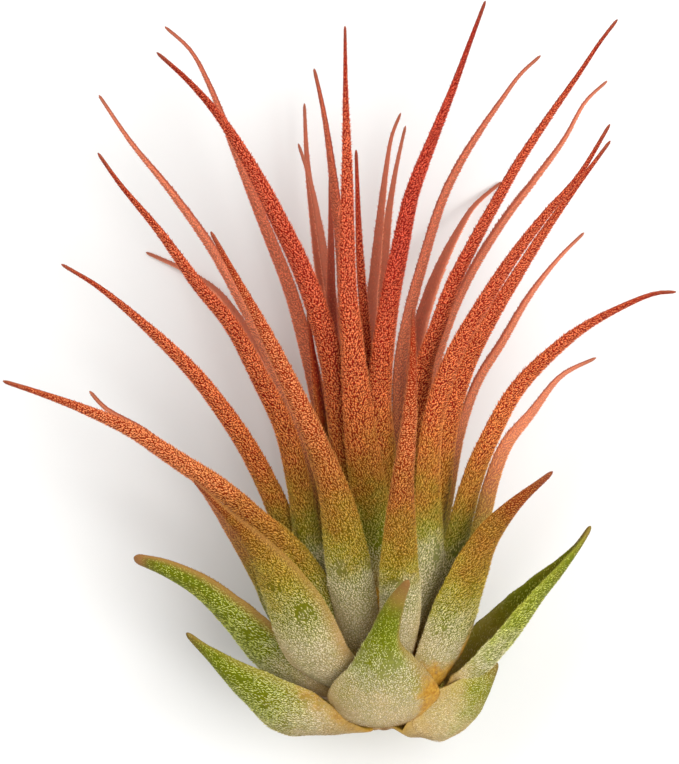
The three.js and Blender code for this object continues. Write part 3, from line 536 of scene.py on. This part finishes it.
def golden_of(leaf, distance, angle):
    """How bare and golden a place is, as a sheath is where its neighbours cover it."""
    far = leaf["golden"]
    root = 1 - smoothstep(distance, far / 2, far)
    margin = smoothstep(np.cos(angle), *GOLDEN_EDGE) * (1 - smoothstep(distance, *GOLDEN_ENDS))
    return np.maximum(root, leaf["golden_margin"] * margin)


def frost_of(leaf, distance):
    """How frosted a place on a sheath is."""
    thick, to = leaf["frost"]
    rising = smoothstep(distance, *FROST_RISE)
    return thick * rising * (1 - smoothstep(distance, to - FROST_OVER, to + FROST_OVER))


def hollow_of(leaf, distance, angle):
    """How dark a leaf's hollow side is: an old leaf's, only over its sheath."""
    dark = 1 - smoothstep(distance, *HOLLOW_ENDS) if leaf["slot"] == "green" else 1
    return smoothstep(-np.sin(angle), *HOLLOW_FACE) * dark


def surface_values(leaf, form, share, angle, scale, fleck, lift):
    distance = share * form["length"]
    return dict(
        flush=flush_of(leaf, distance),
        edge=np.abs(np.cos(angle)),
        hollow=hollow_of(leaf, distance, angle),
        end=smoothstep(form["length"] - distance, *END_STAIN),
        deep=np.full(share.shape, leaf["deep"]),
        dry=dry_of(leaf, form, distance, angle),
        golden=golden_of(leaf, distance, angle),
        frost=frost_of(leaf, distance),
        pale=np.full(share.shape, leaf["pale"]),
        lift=lift,
        scale=np.full(share.shape, float(scale)),
        fleck=np.broadcast_to(fleck, share.shape),
    )


# The leaf map: the skin lies in its left half and the scales in its right, each with the
# length of the leaf folded in three. A fold has room to spare at its start and its edge.
FOLDS = 3
FOLD_START, FOLD_LENGTH = 0.02, 0.9
FOLD_EDGE, FOLD_WIDTH = 0.03, 0.94
MAP_EDGE = 0.002
MAP_SHARE = 0.8  # of its size that a scale takes up there
CAP = 0.005  # how far past an end the middle of its fan lies


def leaf_map(share, turn, start, half=0):
    """Map coordinates for a corner of a face, in the fold that the face starts in."""
    fold = np.clip(np.floor(start * FOLDS + 1e-6), 0, FOLDS - 1)
    u = FOLD_START + FOLD_LENGTH * (share * FOLDS - fold)
    v = (fold + FOLD_EDGE + FOLD_WIDTH * turn) / FOLDS
    return np.stack([(u + half) / 2, v], axis=-1)


def tube(levels, around, order, mapped):
    """The triangles and map corners of a tube of rings and of the fans that close it. Levels
    are where its rings lie on the map, then the middles of its top and of its foot."""
    count = len(levels) - 2
    ring, k = (v.ravel() for v in np.indices((count - 1, around)))
    end = np.arange(around)
    foot, top = 0 * end, 0 * end + count - 1
    faces = (
        ((ring, k), (ring, k + 1), (ring + 1, k)),
        ((ring, k + 1), (ring + 1, k + 1), (ring + 1, k)),
        ((foot, end), (foot - 1, end + 0.5), (foot, end + 1)),
        ((top, end), (top, end + 1), (top + 1, end + 0.5)),
    )
    triangles, corners = [], []
    for face in faces:
        rows, turns = np.array([face[n] for n in order]).transpose(1, 2, 0)
        middles = count * around + (rows > 0)
        places = np.where((rows < 0) | (rows == count), middles, rows * around + turns % around)
        rows = rows.astype(int)
        triangles.append(places.astype(int))
        corners.append(mapped(levels[rows], turns / around, levels[rows[:, :1]]))
    return np.concatenate(triangles), np.concatenate(corners)


def skin_mesh(leaf, form):
    """The skin as arrays: places, triangles, map corners and surface values."""
    stations = stations_of(form)
    angle = np.arange(RING) / RING * 2 * math.pi
    rings = skin(form, stations[:, None], angle[None, :])
    root = rings[0].mean(axis=0) - outward(leaf["around"]) * ROOT_DEPTH
    tip = rings[-1].mean(axis=0)
    levels = np.concatenate([stations, [1 + CAP, -CAP]])
    triangles, corners = tube(levels, RING, (0, 2, 1), leaf_map)
    share = np.concatenate([np.repeat(stations, RING), [0, 1]])
    turned = np.concatenate([np.tile(angle, len(stations)), [math.pi / 2] * 2])
    return dict(
        places=np.concatenate([rings.reshape(-1, 3), [root, tip]]), triangles=triangles,
        corners=corners, values=surface_values(leaf, form, share, turned, 0, 0.5, 0 * share),
        smooth=True,
    )


def even_angles(form, share, count, shift):
    """Angles that lie evenly round a section, and how far it is round it."""
    angle = np.linspace(0, 2 * math.pi, PROBES)
    ring = skin(form, np.full(len(angle), share), angle)
    steps = np.linalg.norm(np.diff(ring, axis=0), axis=1)
    travelled = np.concatenate([[0], np.cumsum(steps)])
    wanted = (np.arange(count) + shift) / count * travelled[-1]
    return np.interp(wanted, travelled, angle), travelled[-1]


def bald(distance, angle, phase):
    """A slow pattern of long patches, for where a leaf has lost its scales."""
    turn = distance / BALD_STEP * 2 * math.pi
    stray, sway = (far * np.sin(turn * pace + start)
                   for (far, pace), start in zip(BALD_WANDER, phase[1:]))
    across = np.cos(BALD_ACROSS * np.cos(angle) + sway)
    return 0.5 + BALD_MIX[0] * across + BALD_MIX[1] * np.sin(turn + phase[0] + stray)


def lost_share(leaf, share, distance, angle, rng):
    """The share of its scales that a leaf has lost at each place."""
    flush = flush_of(leaf, distance)
    patchy = smoothstep(flush, *BALD_STARTS) * (1 - smoothstep(flush, *BALD_ENDS))
    pattern = bald(distance, angle, rng.uniform(0, 2 * math.pi, 3))
    lost = BALD_SHARE * patchy * smoothstep(pattern, BALD_FROM, BALD_FROM + BALD_OVER)
    if leaf["slot"] == "green":
        near_tip = smoothstep(share, *TIP_BALD_FROM) * smoothstep(pattern, *TIP_PATTERN)
        lost = np.maximum(lost, TIP_BALD * near_tip)
        lost = np.maximum(lost, BLADE_BALD * smoothstep(flush, *BLADE_BALD_FROM))
    return np.maximum(lost, GOLDEN_BALD * golden_of(leaf, distance, angle))


def scale_spots(leaf, form, rng):
    """Where the scales of a leaf sit, as shares along it, angles and perimeters."""
    length = form["length"]
    shares, angles, rounds = [], [], []
    for row, distance in enumerate(np.arange(SCALE_FROM, length - SCALE_TO, SCALE_STEP)):
        share = distance / length
        _, around = even_angles(form, share, 1, 0)
        count = max(round(around / SCALE_SPACE), FEWEST_SCALES)
        angle, _ = even_angles(form, share, count, 0.5 * (row % 2) + 0.25)
        shares.append(np.full(count, share))
        angles.append(angle)
        rounds.append(np.full(count, around))
    share, angle, around = (np.concatenate(v) for v in (shares, angles, rounds))
    ahead, aside = (rng.uniform(-stray, stray, len(share)) for stray in SCALE_STRAY)
    share = share + ahead * SCALE_STEP / length
    angle = angle + aside * SCALE_SPACE / around * 2 * math.pi
    keep = (np.sin(angle) >= 0) | (rng.random(len(share)) < INNER_SHARE)
    lost = lost_share(leaf, share, share * length, angle, rng)
    keep &= rng.random(len(share)) >= lost
    return share[keep], angle[keep], around[keep]


def three_way(values, flush):
    """A value that goes from the sheath's to the green blade's to the red blade's."""
    sheath, green, red = values
    blade = lerp(sheath, green, smoothstep(flush, *SHEATH_ENDS))
    return lerp(blade, red, smoothstep(flush, *RED_STARTS))


def scales_mesh(leaf, form, rng):
    """The scales as arrays: each is a small ridged kite, its back end in the skin."""
    share, angle, around = scale_spots(leaf, form, rng)
    count = len(share)
    place = skin(form, share, angle)
    along = unit(skin(form, np.clip(share + PROBE / form["length"], 0, 1), angle) - place)
    across = skin(form, share, angle + PROBE) - place
    across = unit(across - along * np.sum(across * along, 1)[:, None])
    up = np.cross(along, across)

    flush = flush_of(leaf, share * form["length"])
    fine = lerp(TIP_SCALES[0], 1, smoothstep((1 - share) * form["length"], 0, TIP_SCALES[1]))
    sizes = (SCALE_LENGTH, SCALE_WIDTH, SCALE_RISE)
    long_, wide, rise = (three_way(size, flush) * rng.uniform(*spread, count) * fine
                         for size, spread in zip(sizes, SCALE_SPREAD))
    rise = rise * (1 + EDGE_RISE * np.abs(np.cos(angle)) ** 8)
    turn = rng.uniform(-SCALE_TURN, SCALE_TURN, count)
    forward = along * np.cos(turn)[:, None] + across * np.sin(turn)[:, None]
    sideways = np.cross(forward, up)

    low = np.full(count, SCALE_SUNK)
    heights = (low, low + SIDE_RISE, low + SIDE_RISE, rise)
    places = [
        place + forward * (ahead * long_)[:, None] + sideways * (aside * wide)[:, None]
        + up * height[:, None] for (ahead, aside), height in zip(SCALE_CORNERS, heights)]
    corner = [
        leaf_map(share + ahead * long_ * MAP_SHARE / form["length"],
                 angle / (2 * math.pi) % 1 + aside * wide * MAP_SHARE / around, share, 1)
        for ahead, aside in SCALE_CORNERS]
    corners = np.concatenate([np.stack([corner[k] for k in face], 1) for face in SCALE_FACES])
    fleck = np.repeat(rng.random(count), 4)
    return dict(
        places=np.stack(places, 1).reshape(-1, 3),
        triangles=np.concatenate([np.arange(count)[:, None] * 4 + face for face in SCALE_FACES]),
        corners=np.clip(corners, MAP_EDGE, 1 - MAP_EDGE),
        values=surface_values(leaf, form, np.repeat(share, 4), np.repeat(angle, 4), 1, fleck,
                              np.tile(SCALE_HIGHLIGHT, count)),
        smooth=False,
    )


def add_object(name, data):
    made = bpy.data.objects.new(name, data)
    bpy.context.collection.objects.link(made)
    return made


def make_piece(node, slot, parts, material):
    """The fine piece of a node, from several sets of arrays."""
    starts = np.cumsum([0] + [len(part["places"]) for part in parts[:-1]])
    places, corners = (
        np.concatenate([part[key] for part in parts]) for key in ("places", "corners"))
    places[:, 2] = np.maximum(places[:, 2], 0)
    places *= MM
    triangles = np.concatenate([part["triangles"] + s for part, s in zip(parts, starts)])
    smooth = np.concatenate([np.full(len(part["triangles"]), part["smooth"]) for part in parts])

    mesh = bpy.data.meshes.new("fine_" + node)
    mesh.vertices.add(len(places))
    mesh.vertices.foreach_set("co", places.ravel())
    mesh.loops.add(len(triangles) * 3)
    mesh.loops.foreach_set("vertex_index", triangles.ravel().astype(np.int32))
    mesh.polygons.add(len(triangles))
    mesh.polygons.foreach_set("loop_start", np.arange(len(triangles), dtype=np.int32) * 3)
    mesh.polygons.foreach_set("use_smooth", smooth)
    mesh.update(calc_edges=True)
    for value in parts[0]["values"]:
        data = np.concatenate([part["values"][value] for part in parts]).astype(np.float32)
        mesh.attributes.new(value, "FLOAT", "POINT").data.foreach_set("value", data)
    mesh.uv_layers.new(name="OFBake").data.foreach_set("uv", corners.astype(np.float32).ravel())
    mesh.materials.append(material)
    piece = add_object("fine_" + node, mesh)
    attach(piece, "root")
    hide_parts(node)


# Materials
def linear(colour):
    """A colour given as 0 to 255, as the nodes want it."""
    parts = [c / 255 for c in colour]
    parts = [c / 12.92 if c <= 0.04045 else ((c + 0.055) / 1.055) ** 2.4 for c in parts]
    return (*parts, 1)


class Graph:
    """Short calls for the nodes of one material."""

    def __init__(self, name):
        self.material = bpy.data.materials.new(name)
        self.material.use_nodes = True
        self.tree = self.material.node_tree
        self.tree.nodes.clear()
        self.place = self.node("ShaderNodeTexCoord", {}).outputs["Object"]

    def node(self, kind, inputs, **settings):
        made = self.tree.nodes.new(kind)
        for setting, value in settings.items():
            setattr(made, setting, value)
        for socket, value in inputs.items():
            if isinstance(value, bpy.types.NodeSocket):
                self.tree.links.new(value, made.inputs[socket])
            else:
                made.inputs[socket].default_value = value
        return made

    def attribute(self, name):
        return self.node("ShaderNodeAttribute", {}, attribute_name=name).outputs["Fac"]

    def math(self, operation, a, b):
        return self.node("ShaderNodeMath", {0: a, 1: b}, operation=operation).outputs[0]

    def times(self, a, b):
        return self.math("MULTIPLY", a, b)

    def plus(self, a, b):
        return self.math("ADD", a, b)

    def range(self, value, low, high, start=0.0, end=1.0):
        inputs = {"Value": value, "From Min": low, "From Max": high, "To Min": start, "To Max": end}
        return self.node("ShaderNodeMapRange", inputs, clamp=True).outputs["Result"]

    def mix(self, share, a, b, blend="MIX"):
        settings = dict(data_type="RGBA", blend_type=blend)
        return self.node("ShaderNodeMix", {0: share, 6: a, 7: b}, **settings).outputs[2]

    def shade(self, colour, value):
        inputs = {"Red": value, "Green": value, "Blue": value}
        grey = self.node("ShaderNodeCombineColor", inputs).outputs[0]
        return self.mix(1.0, colour, grey, "MULTIPLY")

    def noise(self, scale, detail, roughness):
        inputs = {"Vector": self.place, "Scale": scale, "Detail": detail, "Roughness": roughness}
        return self.node("ShaderNodeTexNoise", inputs).outputs["Fac"]

    def ramp(self, value, stops):
        made = self.node("ShaderNodeValToRGB", {"Fac": value})
        elements = made.color_ramp.elements
        while len(elements) < len(stops):
            elements.new(0.5)
        for element, (position, *colour) in zip(elements, stops):
            element.position = position
            element.color = linear(colour)
        return made.outputs["Color"]

    def finish(self, colour, roughness, height, depth, **constants):
        inputs = {"Height": height, "Strength": 1.0, "Distance": depth * MM}
        bump = self.node("ShaderNodeBump", inputs).outputs[0]
        inputs = {"Base Color": colour, "Roughness": roughness, "Normal": bump, **constants}
        shader = self.node("ShaderNodeBsdfPrincipled", inputs)
        self.node("ShaderNodeOutputMaterial", {"Surface": shader.outputs[0]})
        return self.material


# A leaf's colours by its flush, from the stem outwards: its bare skin, its scales and the painted
# highlights on the scales' tips
SKIN_COLOURS = dict(
    green=[(0, 150, 116, 66), (0.06, 170, 138, 80), (0.12, 176, 152, 88), (0.19, 130, 124, 20),
        (0.26, 114, 118, 0), (0.33, 102, 110, 0), (0.5, 124, 88, 26)],
    turning=[(0, 92, 60, 16), (0.07, 142, 114, 52), (0.14, 134, 122, 54), (0.21, 108, 110, 10),
        (0.3, 112, 102, 0), (0.4, 114, 74, 0), (0.5, 118, 46, 0), (0.62, 142, 40, 0),
        (0.8, 150, 38, 4), (1, 152, 44, 14)],
    red=[(0, 80, 50, 10), (0.08, 124, 98, 30), (0.16, 118, 112, 32), (0.24, 104, 110, 0),
        (0.32, 106, 98, 0), (0.42, 122, 70, 0), (0.52, 132, 40, 0), (0.62, 136, 22, 0),
        (0.8, 142, 20, 0), (1, 150, 30, 4)],
)
SCALE_COLOURS = dict(
    green=[(0, 206, 176, 126), (0.06, 216, 190, 138), (0.12, 222, 204, 154), (0.19, 216, 208, 136),
        (0.26, 210, 210, 108), (0.33, 198, 200, 78), (0.5, 200, 160, 88)],
    turning=[(0, 160, 130, 74), (0.07, 196, 180, 126), (0.14, 212, 200, 146), (0.22, 212, 200, 120),
        (0.3, 194, 170, 54), (0.4, 190, 138, 42), (0.5, 204, 126, 52), (0.62, 240, 144, 82),
        (0.8, 242, 136, 84), (1, 226, 122, 80)],
    red=[(0, 150, 120, 56), (0.08, 196, 176, 112), (0.16, 206, 194, 132), (0.24, 186, 178, 84),
        (0.32, 170, 150, 50), (0.42, 198, 138, 54), (0.52, 228, 134, 62), (0.62, 244, 130, 66),
        (0.8, 244, 126, 72), (1, 236, 120, 76)],
)
# Painted highlights: the colour of a scale's tip, as if it caught the light
GLINT_COLOURS = dict(
    green=[(0, 220, 190, 130), (0.12, 244, 232, 204), (0.26, 242, 242, 200), (0.33, 228, 234, 140),
        (0.5, 232, 194, 130)],
    turning=[(0, 210, 186, 120), (0.12, 242, 230, 196), (0.24, 244, 236, 184), (0.34, 242, 214, 118),
        (0.46, 248, 186, 98), (0.62, 255, 182, 116), (1, 252, 168, 118)],
    red=[(0, 200, 170, 90), (0.16, 240, 230, 190), (0.26, 230, 220, 136), (0.4, 236, 190, 80),
        (0.52, 254, 182, 98), (0.64, 255, 184, 118), (0.8, 255, 176, 120), (1, 255, 168, 122)],
)
AMBER = ((164, 108, 14), (206, 158, 58))  # where a sheath is bare
CRIMSON = (0.8, 0.42, 0.56, 1)  # what the deepest red leaves of the light
OCHRE = (182, 142, 56)  # a sheath's thin margins
TAN = (170, 124, 66)  # a dry margin
STAIN = (140, 82, 60)  # a tip
FROST_COLOUR = (240, 222, 190)  # a sheath's thick scales
SALMON = (255, 170, 132)  # the leaves behind, painted paler: partly painted light against the shade of the leaves above
HOLLOW = (168, 146, 40)  # the hollow side of an old leaf
STEM_COLOURS = [(0.1, 108, 76, 44), (0.4, 156, 118, 72), (0.7, 196, 160, 110), (1, 220, 192, 146)]
FLOOR_COLOURS = [(0, 238, 238, 236), (1, 241, 241, 239)]

# The patterns in a leaf: how many to the metre, how fine and how rough
PATTERNS = dict(
    patches=(420, 3, 0.6), drifts=(700, 3, 0.6), mottle=(2600, 2, 0.6), grain=(9000, 2, 0.6))
LEAF_VALUES = ("flush", "scale", "edge", "hollow", "fleck", "end", "deep", "dry", "golden",
               "frost", "pale", "lift")

# How the colours go together. A pair of a flush says where a colour begins and is full.
MOST = (0.3, 0.7)  # where most of a pattern lies
TURN_SPREAD = 0.05  # of the flush, by the patches
SKIN_LIGHT = 1.12
FELT_FLUSH, FELT_SHARE = (0.2, 0.08), 0.6
FROSTED = (0.75, 1.15)
FROST_SHARES = (0.75, 0.12)  # of the scales and of the skin
FLECKS = (0.7, 1.2)  # the darkest scale and the lightest
MARGIN_SHARE = 0.3
CRIMSON_FLUSH = (0.55, 0.85)
OCHRE_FLUSH = (0.24, 0.12)
SALMON_FLUSH, SALMON_SHARE = (0.3, 0.6), 0.8
GOLDEN_DRIFT = 0.25
GOLDEN, GOLDEN_SHARE = (0.3, 0.85), 0.9
HOLLOW_FLUSH, HOLLOW_SHARE = (0.35, 0.5), 0.55
STAIN_SHARE = 0.45
LEAF_BUMP = 0.06  # how deep the finest relief is
STEM_BUMP = 0.12
FLOOR_BUMP = 0.01

# Each leaf material's name, how deep the skin's tone is between the scales, and how ochre
# a sheath's thin margins are
LEAF_LOOKS = dict(
    green=("old_leaf", 0.78, 0.75), turning=("turning_leaf", 0.72, 0.45),
    red=("young_leaf", 0.66, 0.2))


def scaly_colour(graph, of, slot, dark):
    """The colour of the bare skin, and of the skin with its scales and its frost, each scale painted
    darker at its root and with a painted highlight at its tip.
    """
    mix, times, span = graph.mix, graph.times, graph.range
    turned = graph.plus(of.flush, span(of.patches, 0.25, 0.75, -TURN_SPREAD, TURN_SPREAD))
    bare = graph.ramp(turned, SKIN_COLOURS[slot])
    bare = graph.shade(bare, span(of.mottle, *MOST, dark, SKIN_LIGHT))
    covered = graph.ramp(turned, SCALE_COLOURS[slot])
    felt = span(of.flush, *FELT_FLUSH, 0, FELT_SHARE)
    bare = mix(times(span(of.grain, 0.42, 0.6), felt), bare, covered)
    frosted = span(graph.plus(of.frost, of.drifts), *FROSTED)
    covered, bare = (
        mix(times(frosted, share), colour, linear(FROST_COLOUR))
        for share, colour in zip(FROST_SHARES, (covered, bare)))
    # Painted shade and highlight along each scale: the bare skin's colour at its root, the scale's at
    # its sides, a painted highlight at its tip
    rising = mix(span(of.lift, 0, 0.4), bare, covered)
    glint = graph.ramp(turned, GLINT_COLOURS[slot])
    rising = mix(span(of.lift, 0.4, 1), rising, glint)
    flecked = graph.shade(rising, span(of.fleck, 0, 1, *FLECKS))
    colour = mix(of.scale, bare, flecked)
    margin = times(graph.math("POWER", of.edge, 10), MARGIN_SHARE)
    return bare, mix(margin, colour, covered)


def leaf_colour(graph, of, slot, dark, ochre):
    """A leaf's colour with its crimson, its margins, its bare sheath and its hollow side."""
    mix, times, span = graph.mix, graph.times, graph.range
    flush = of.flush
    bare, colour = scaly_colour(graph, of, slot, dark)
    red = times(of.deep, span(flush, *CRIMSON_FLUSH))
    colour = mix(red, colour, mix(1.0, colour, CRIMSON, "MULTIPLY"))
    thin = times(graph.math("POWER", of.edge, 3), span(flush, *OCHRE_FLUSH, 0, ochre))
    colour = mix(thin, colour, linear(OCHRE))
    colour = mix(of.dry, colour, linear(TAN))
    # The leaves behind are mixed towards salmon: partly painted light that lifts the shade of the
    # leaves above
    weak = times(of.pale, span(flush, *SALMON_FLUSH, 0, SALMON_SHARE))
    colour = mix(weak, colour, linear(SALMON))
    amber = mix(span(of.mottle, *MOST), *(linear(c) for c in AMBER))
    drift = span(of.drifts, *MOST, -GOLDEN_DRIFT, GOLDEN_DRIFT)
    golden = span(graph.plus(of.golden, drift), *GOLDEN, 0, GOLDEN_SHARE)
    colour = mix(golden, colour, amber)
    within = mix(span(flush, *HOLLOW_FLUSH), linear(HOLLOW), bare)
    colour = mix(times(of.hollow, HOLLOW_SHARE), colour, within)
    return mix(times(of.end, STAIN_SHARE), colour, linear(STAIN))


def leaf_material(slot, name, dark, ochre):
    graph = Graph(name)
    of = SimpleNamespace(**{value: graph.attribute(value) for value in LEAF_VALUES},
                         **{pattern: graph.noise(*PATTERNS[pattern]) for pattern in PATTERNS})
    colour = leaf_colour(graph, of, slot, dark, ochre)
    rough = graph.range(of.mottle, 0.2, 0.8, 0.5, 0.72)
    rough = graph.plus(rough, graph.times(of.scale, 0.14))
    height = graph.plus(of.mottle, graph.times(of.grain, 0.5))
    return graph.finish(colour, rough, height, LEAF_BUMP, **{"Specular IOR Level": 0.12})


def stem_material():
    graph = Graph("stem")
    fibre = graph.attribute("fibre")
    patches = graph.noise(700, 4, 0.6)
    grain = graph.noise(6000, 3, 0.6)
    tone = graph.plus(graph.times(fibre, 0.6), graph.times(patches, 0.5))
    rough = graph.range(grain, 0.2, 0.8, 0.75, 0.95)
    return graph.finish(graph.ramp(tone, STEM_COLOURS), rough, graph.plus(grain, fibre), STEM_BUMP)


def floor_material():
    graph = Graph("pale_floor")
    cloud = graph.noise(3, 2, 0.5)
    rough = graph.range(cloud, 0, 1, 0.75, 0.85)
    return graph.finish(graph.ramp(cloud, FLOOR_COLOURS), rough, cloud, FLOOR_BUMP)


def make_leaves():
    materials = {slot: leaf_material(slot, *looks) for slot, looks in LEAF_LOOKS.items()}
    for number, (name, leaf) in enumerate(LEAVES.items()):
        rng = np.random.default_rng(LEAF_SEED + number)
        form = leaf_form(leaf, rng)
        parts = [skin_mesh(leaf, form), scales_mesh(leaf, form, rng)]
        make_piece("leaf_" + name, leaf["slot"], parts, materials[leaf["slot"]])


def stem_rings(rng):
    """The stem's rings with its lengthwise fibres and its ragged foot, and the fibres."""
    turn = np.arange(STEM_ROUND) / STEM_ROUND * 2 * math.pi
    up = np.linspace(0, STEM_LENGTH, STEM_RINGS)[:, None]
    waves = zip(STEM_WAVES, rng.uniform(0, 6, len(STEM_WAVES)))
    fibres = sum(np.sin(n * turn + phase) / n**0.3 for n, phase in waves)
    fibre = (fibres + rng.normal(0, STEM_DRIFT, (STEM_RINGS, STEM_ROUND))) / 4
    radius = stem_radius(up) * (1 + STEM_RELIEF * fibre)
    spoke = UPPER * np.cos(turn)[:, None] + RIGHT * np.sin(turn)[:, None]
    up = np.repeat(up, STEM_ROUND, 1)
    up[0] += STEM_RAGGED * fibre[0]
    return STEM_FOOT + STEM_AXIS * up[..., None] + spoke * radius[..., None], fibre


def stem_map(level, turn, _):
    """Map coordinates for a place on the stem."""
    return np.stack([0.02 + 0.96 * turn, 0.1 + 0.8 * level / STEM_RINGS], axis=-1)


def make_stem():
    rings, fibre = stem_rings(np.random.default_rng(STEM_SEED))
    foot = STEM_FOOT + STEM_AXIS * STEM_HOLLOW
    top = STEM_FOOT + STEM_AXIS * (STEM_LENGTH + STEM_DOME)
    levels = np.array([*range(STEM_RINGS), STEM_RINGS + 4, -6])
    triangles, corners = tube(levels, STEM_ROUND, (0, 1, 2), stem_map)
    fibres = np.concatenate([(0.5 + fibre).ravel(), [0.3, 0.5]])
    part = dict(places=np.concatenate([rings.reshape(-1, 3), [foot, top]]), triangles=triangles,
                corners=corners, values=dict(fibre=fibres), smooth=True)
    make_piece("stem", "stem", [part], stem_material())


def add_studio():
    span = FLOOR_SPAN * MM / 2
    mesh = bpy.data.meshes.new("floor")
    corners = [(x * span, y * span, 0) for x, y in ((-1, -1), (1, -1), (1, 1), (-1, 1))]
    mesh.from_pydata(corners, [], [(0, 1, 2, 3)])
    mesh.materials.append(floor_material())
    floor = add_object("floor", mesh)

    world = bpy.data.worlds.new("room")
    world.use_nodes = True
    background = world.node_tree.nodes["Background"]
    background.inputs["Color"].default_value = (1, 1, 1, 1)
    background.inputs["Strength"].default_value = ROOM_LIGHT
    bpy.context.scene.world = world
    bpy.context.scene.view_settings.view_transform = "Standard"
    for name, (place, power) in LIGHTS.items():
        light = bpy.data.lights.new(name, "AREA")
        light.size = LIGHT_SIZE * MM
        light.energy = power
        lamp = add_object(name, light)
        lamp.location = [c * MM for c in place]
        lamp.rotation_euler = (-lamp.location).to_track_quat("-Z", "Y").to_euler()


def add_camera():
    data = bpy.data.cameras.new("camera")
    data.sensor_width = SENSOR
    data.lens = SENSOR * (CAMERA_HEIGHT - SCALE_HEIGHT) / FRAME_HEIGHT
    data.clip_start, data.clip_end = (c * MM for c in CLIP)
    camera = add_object("camera", data)
    camera.location = (FRAME_MIDDLE[0] * MM, FRAME_MIDDLE[1] * MM, CAMERA_HEIGHT * MM)
    bpy.context.scene.camera = camera


add_camera()
add_studio()
make_stem()
make_leaves()
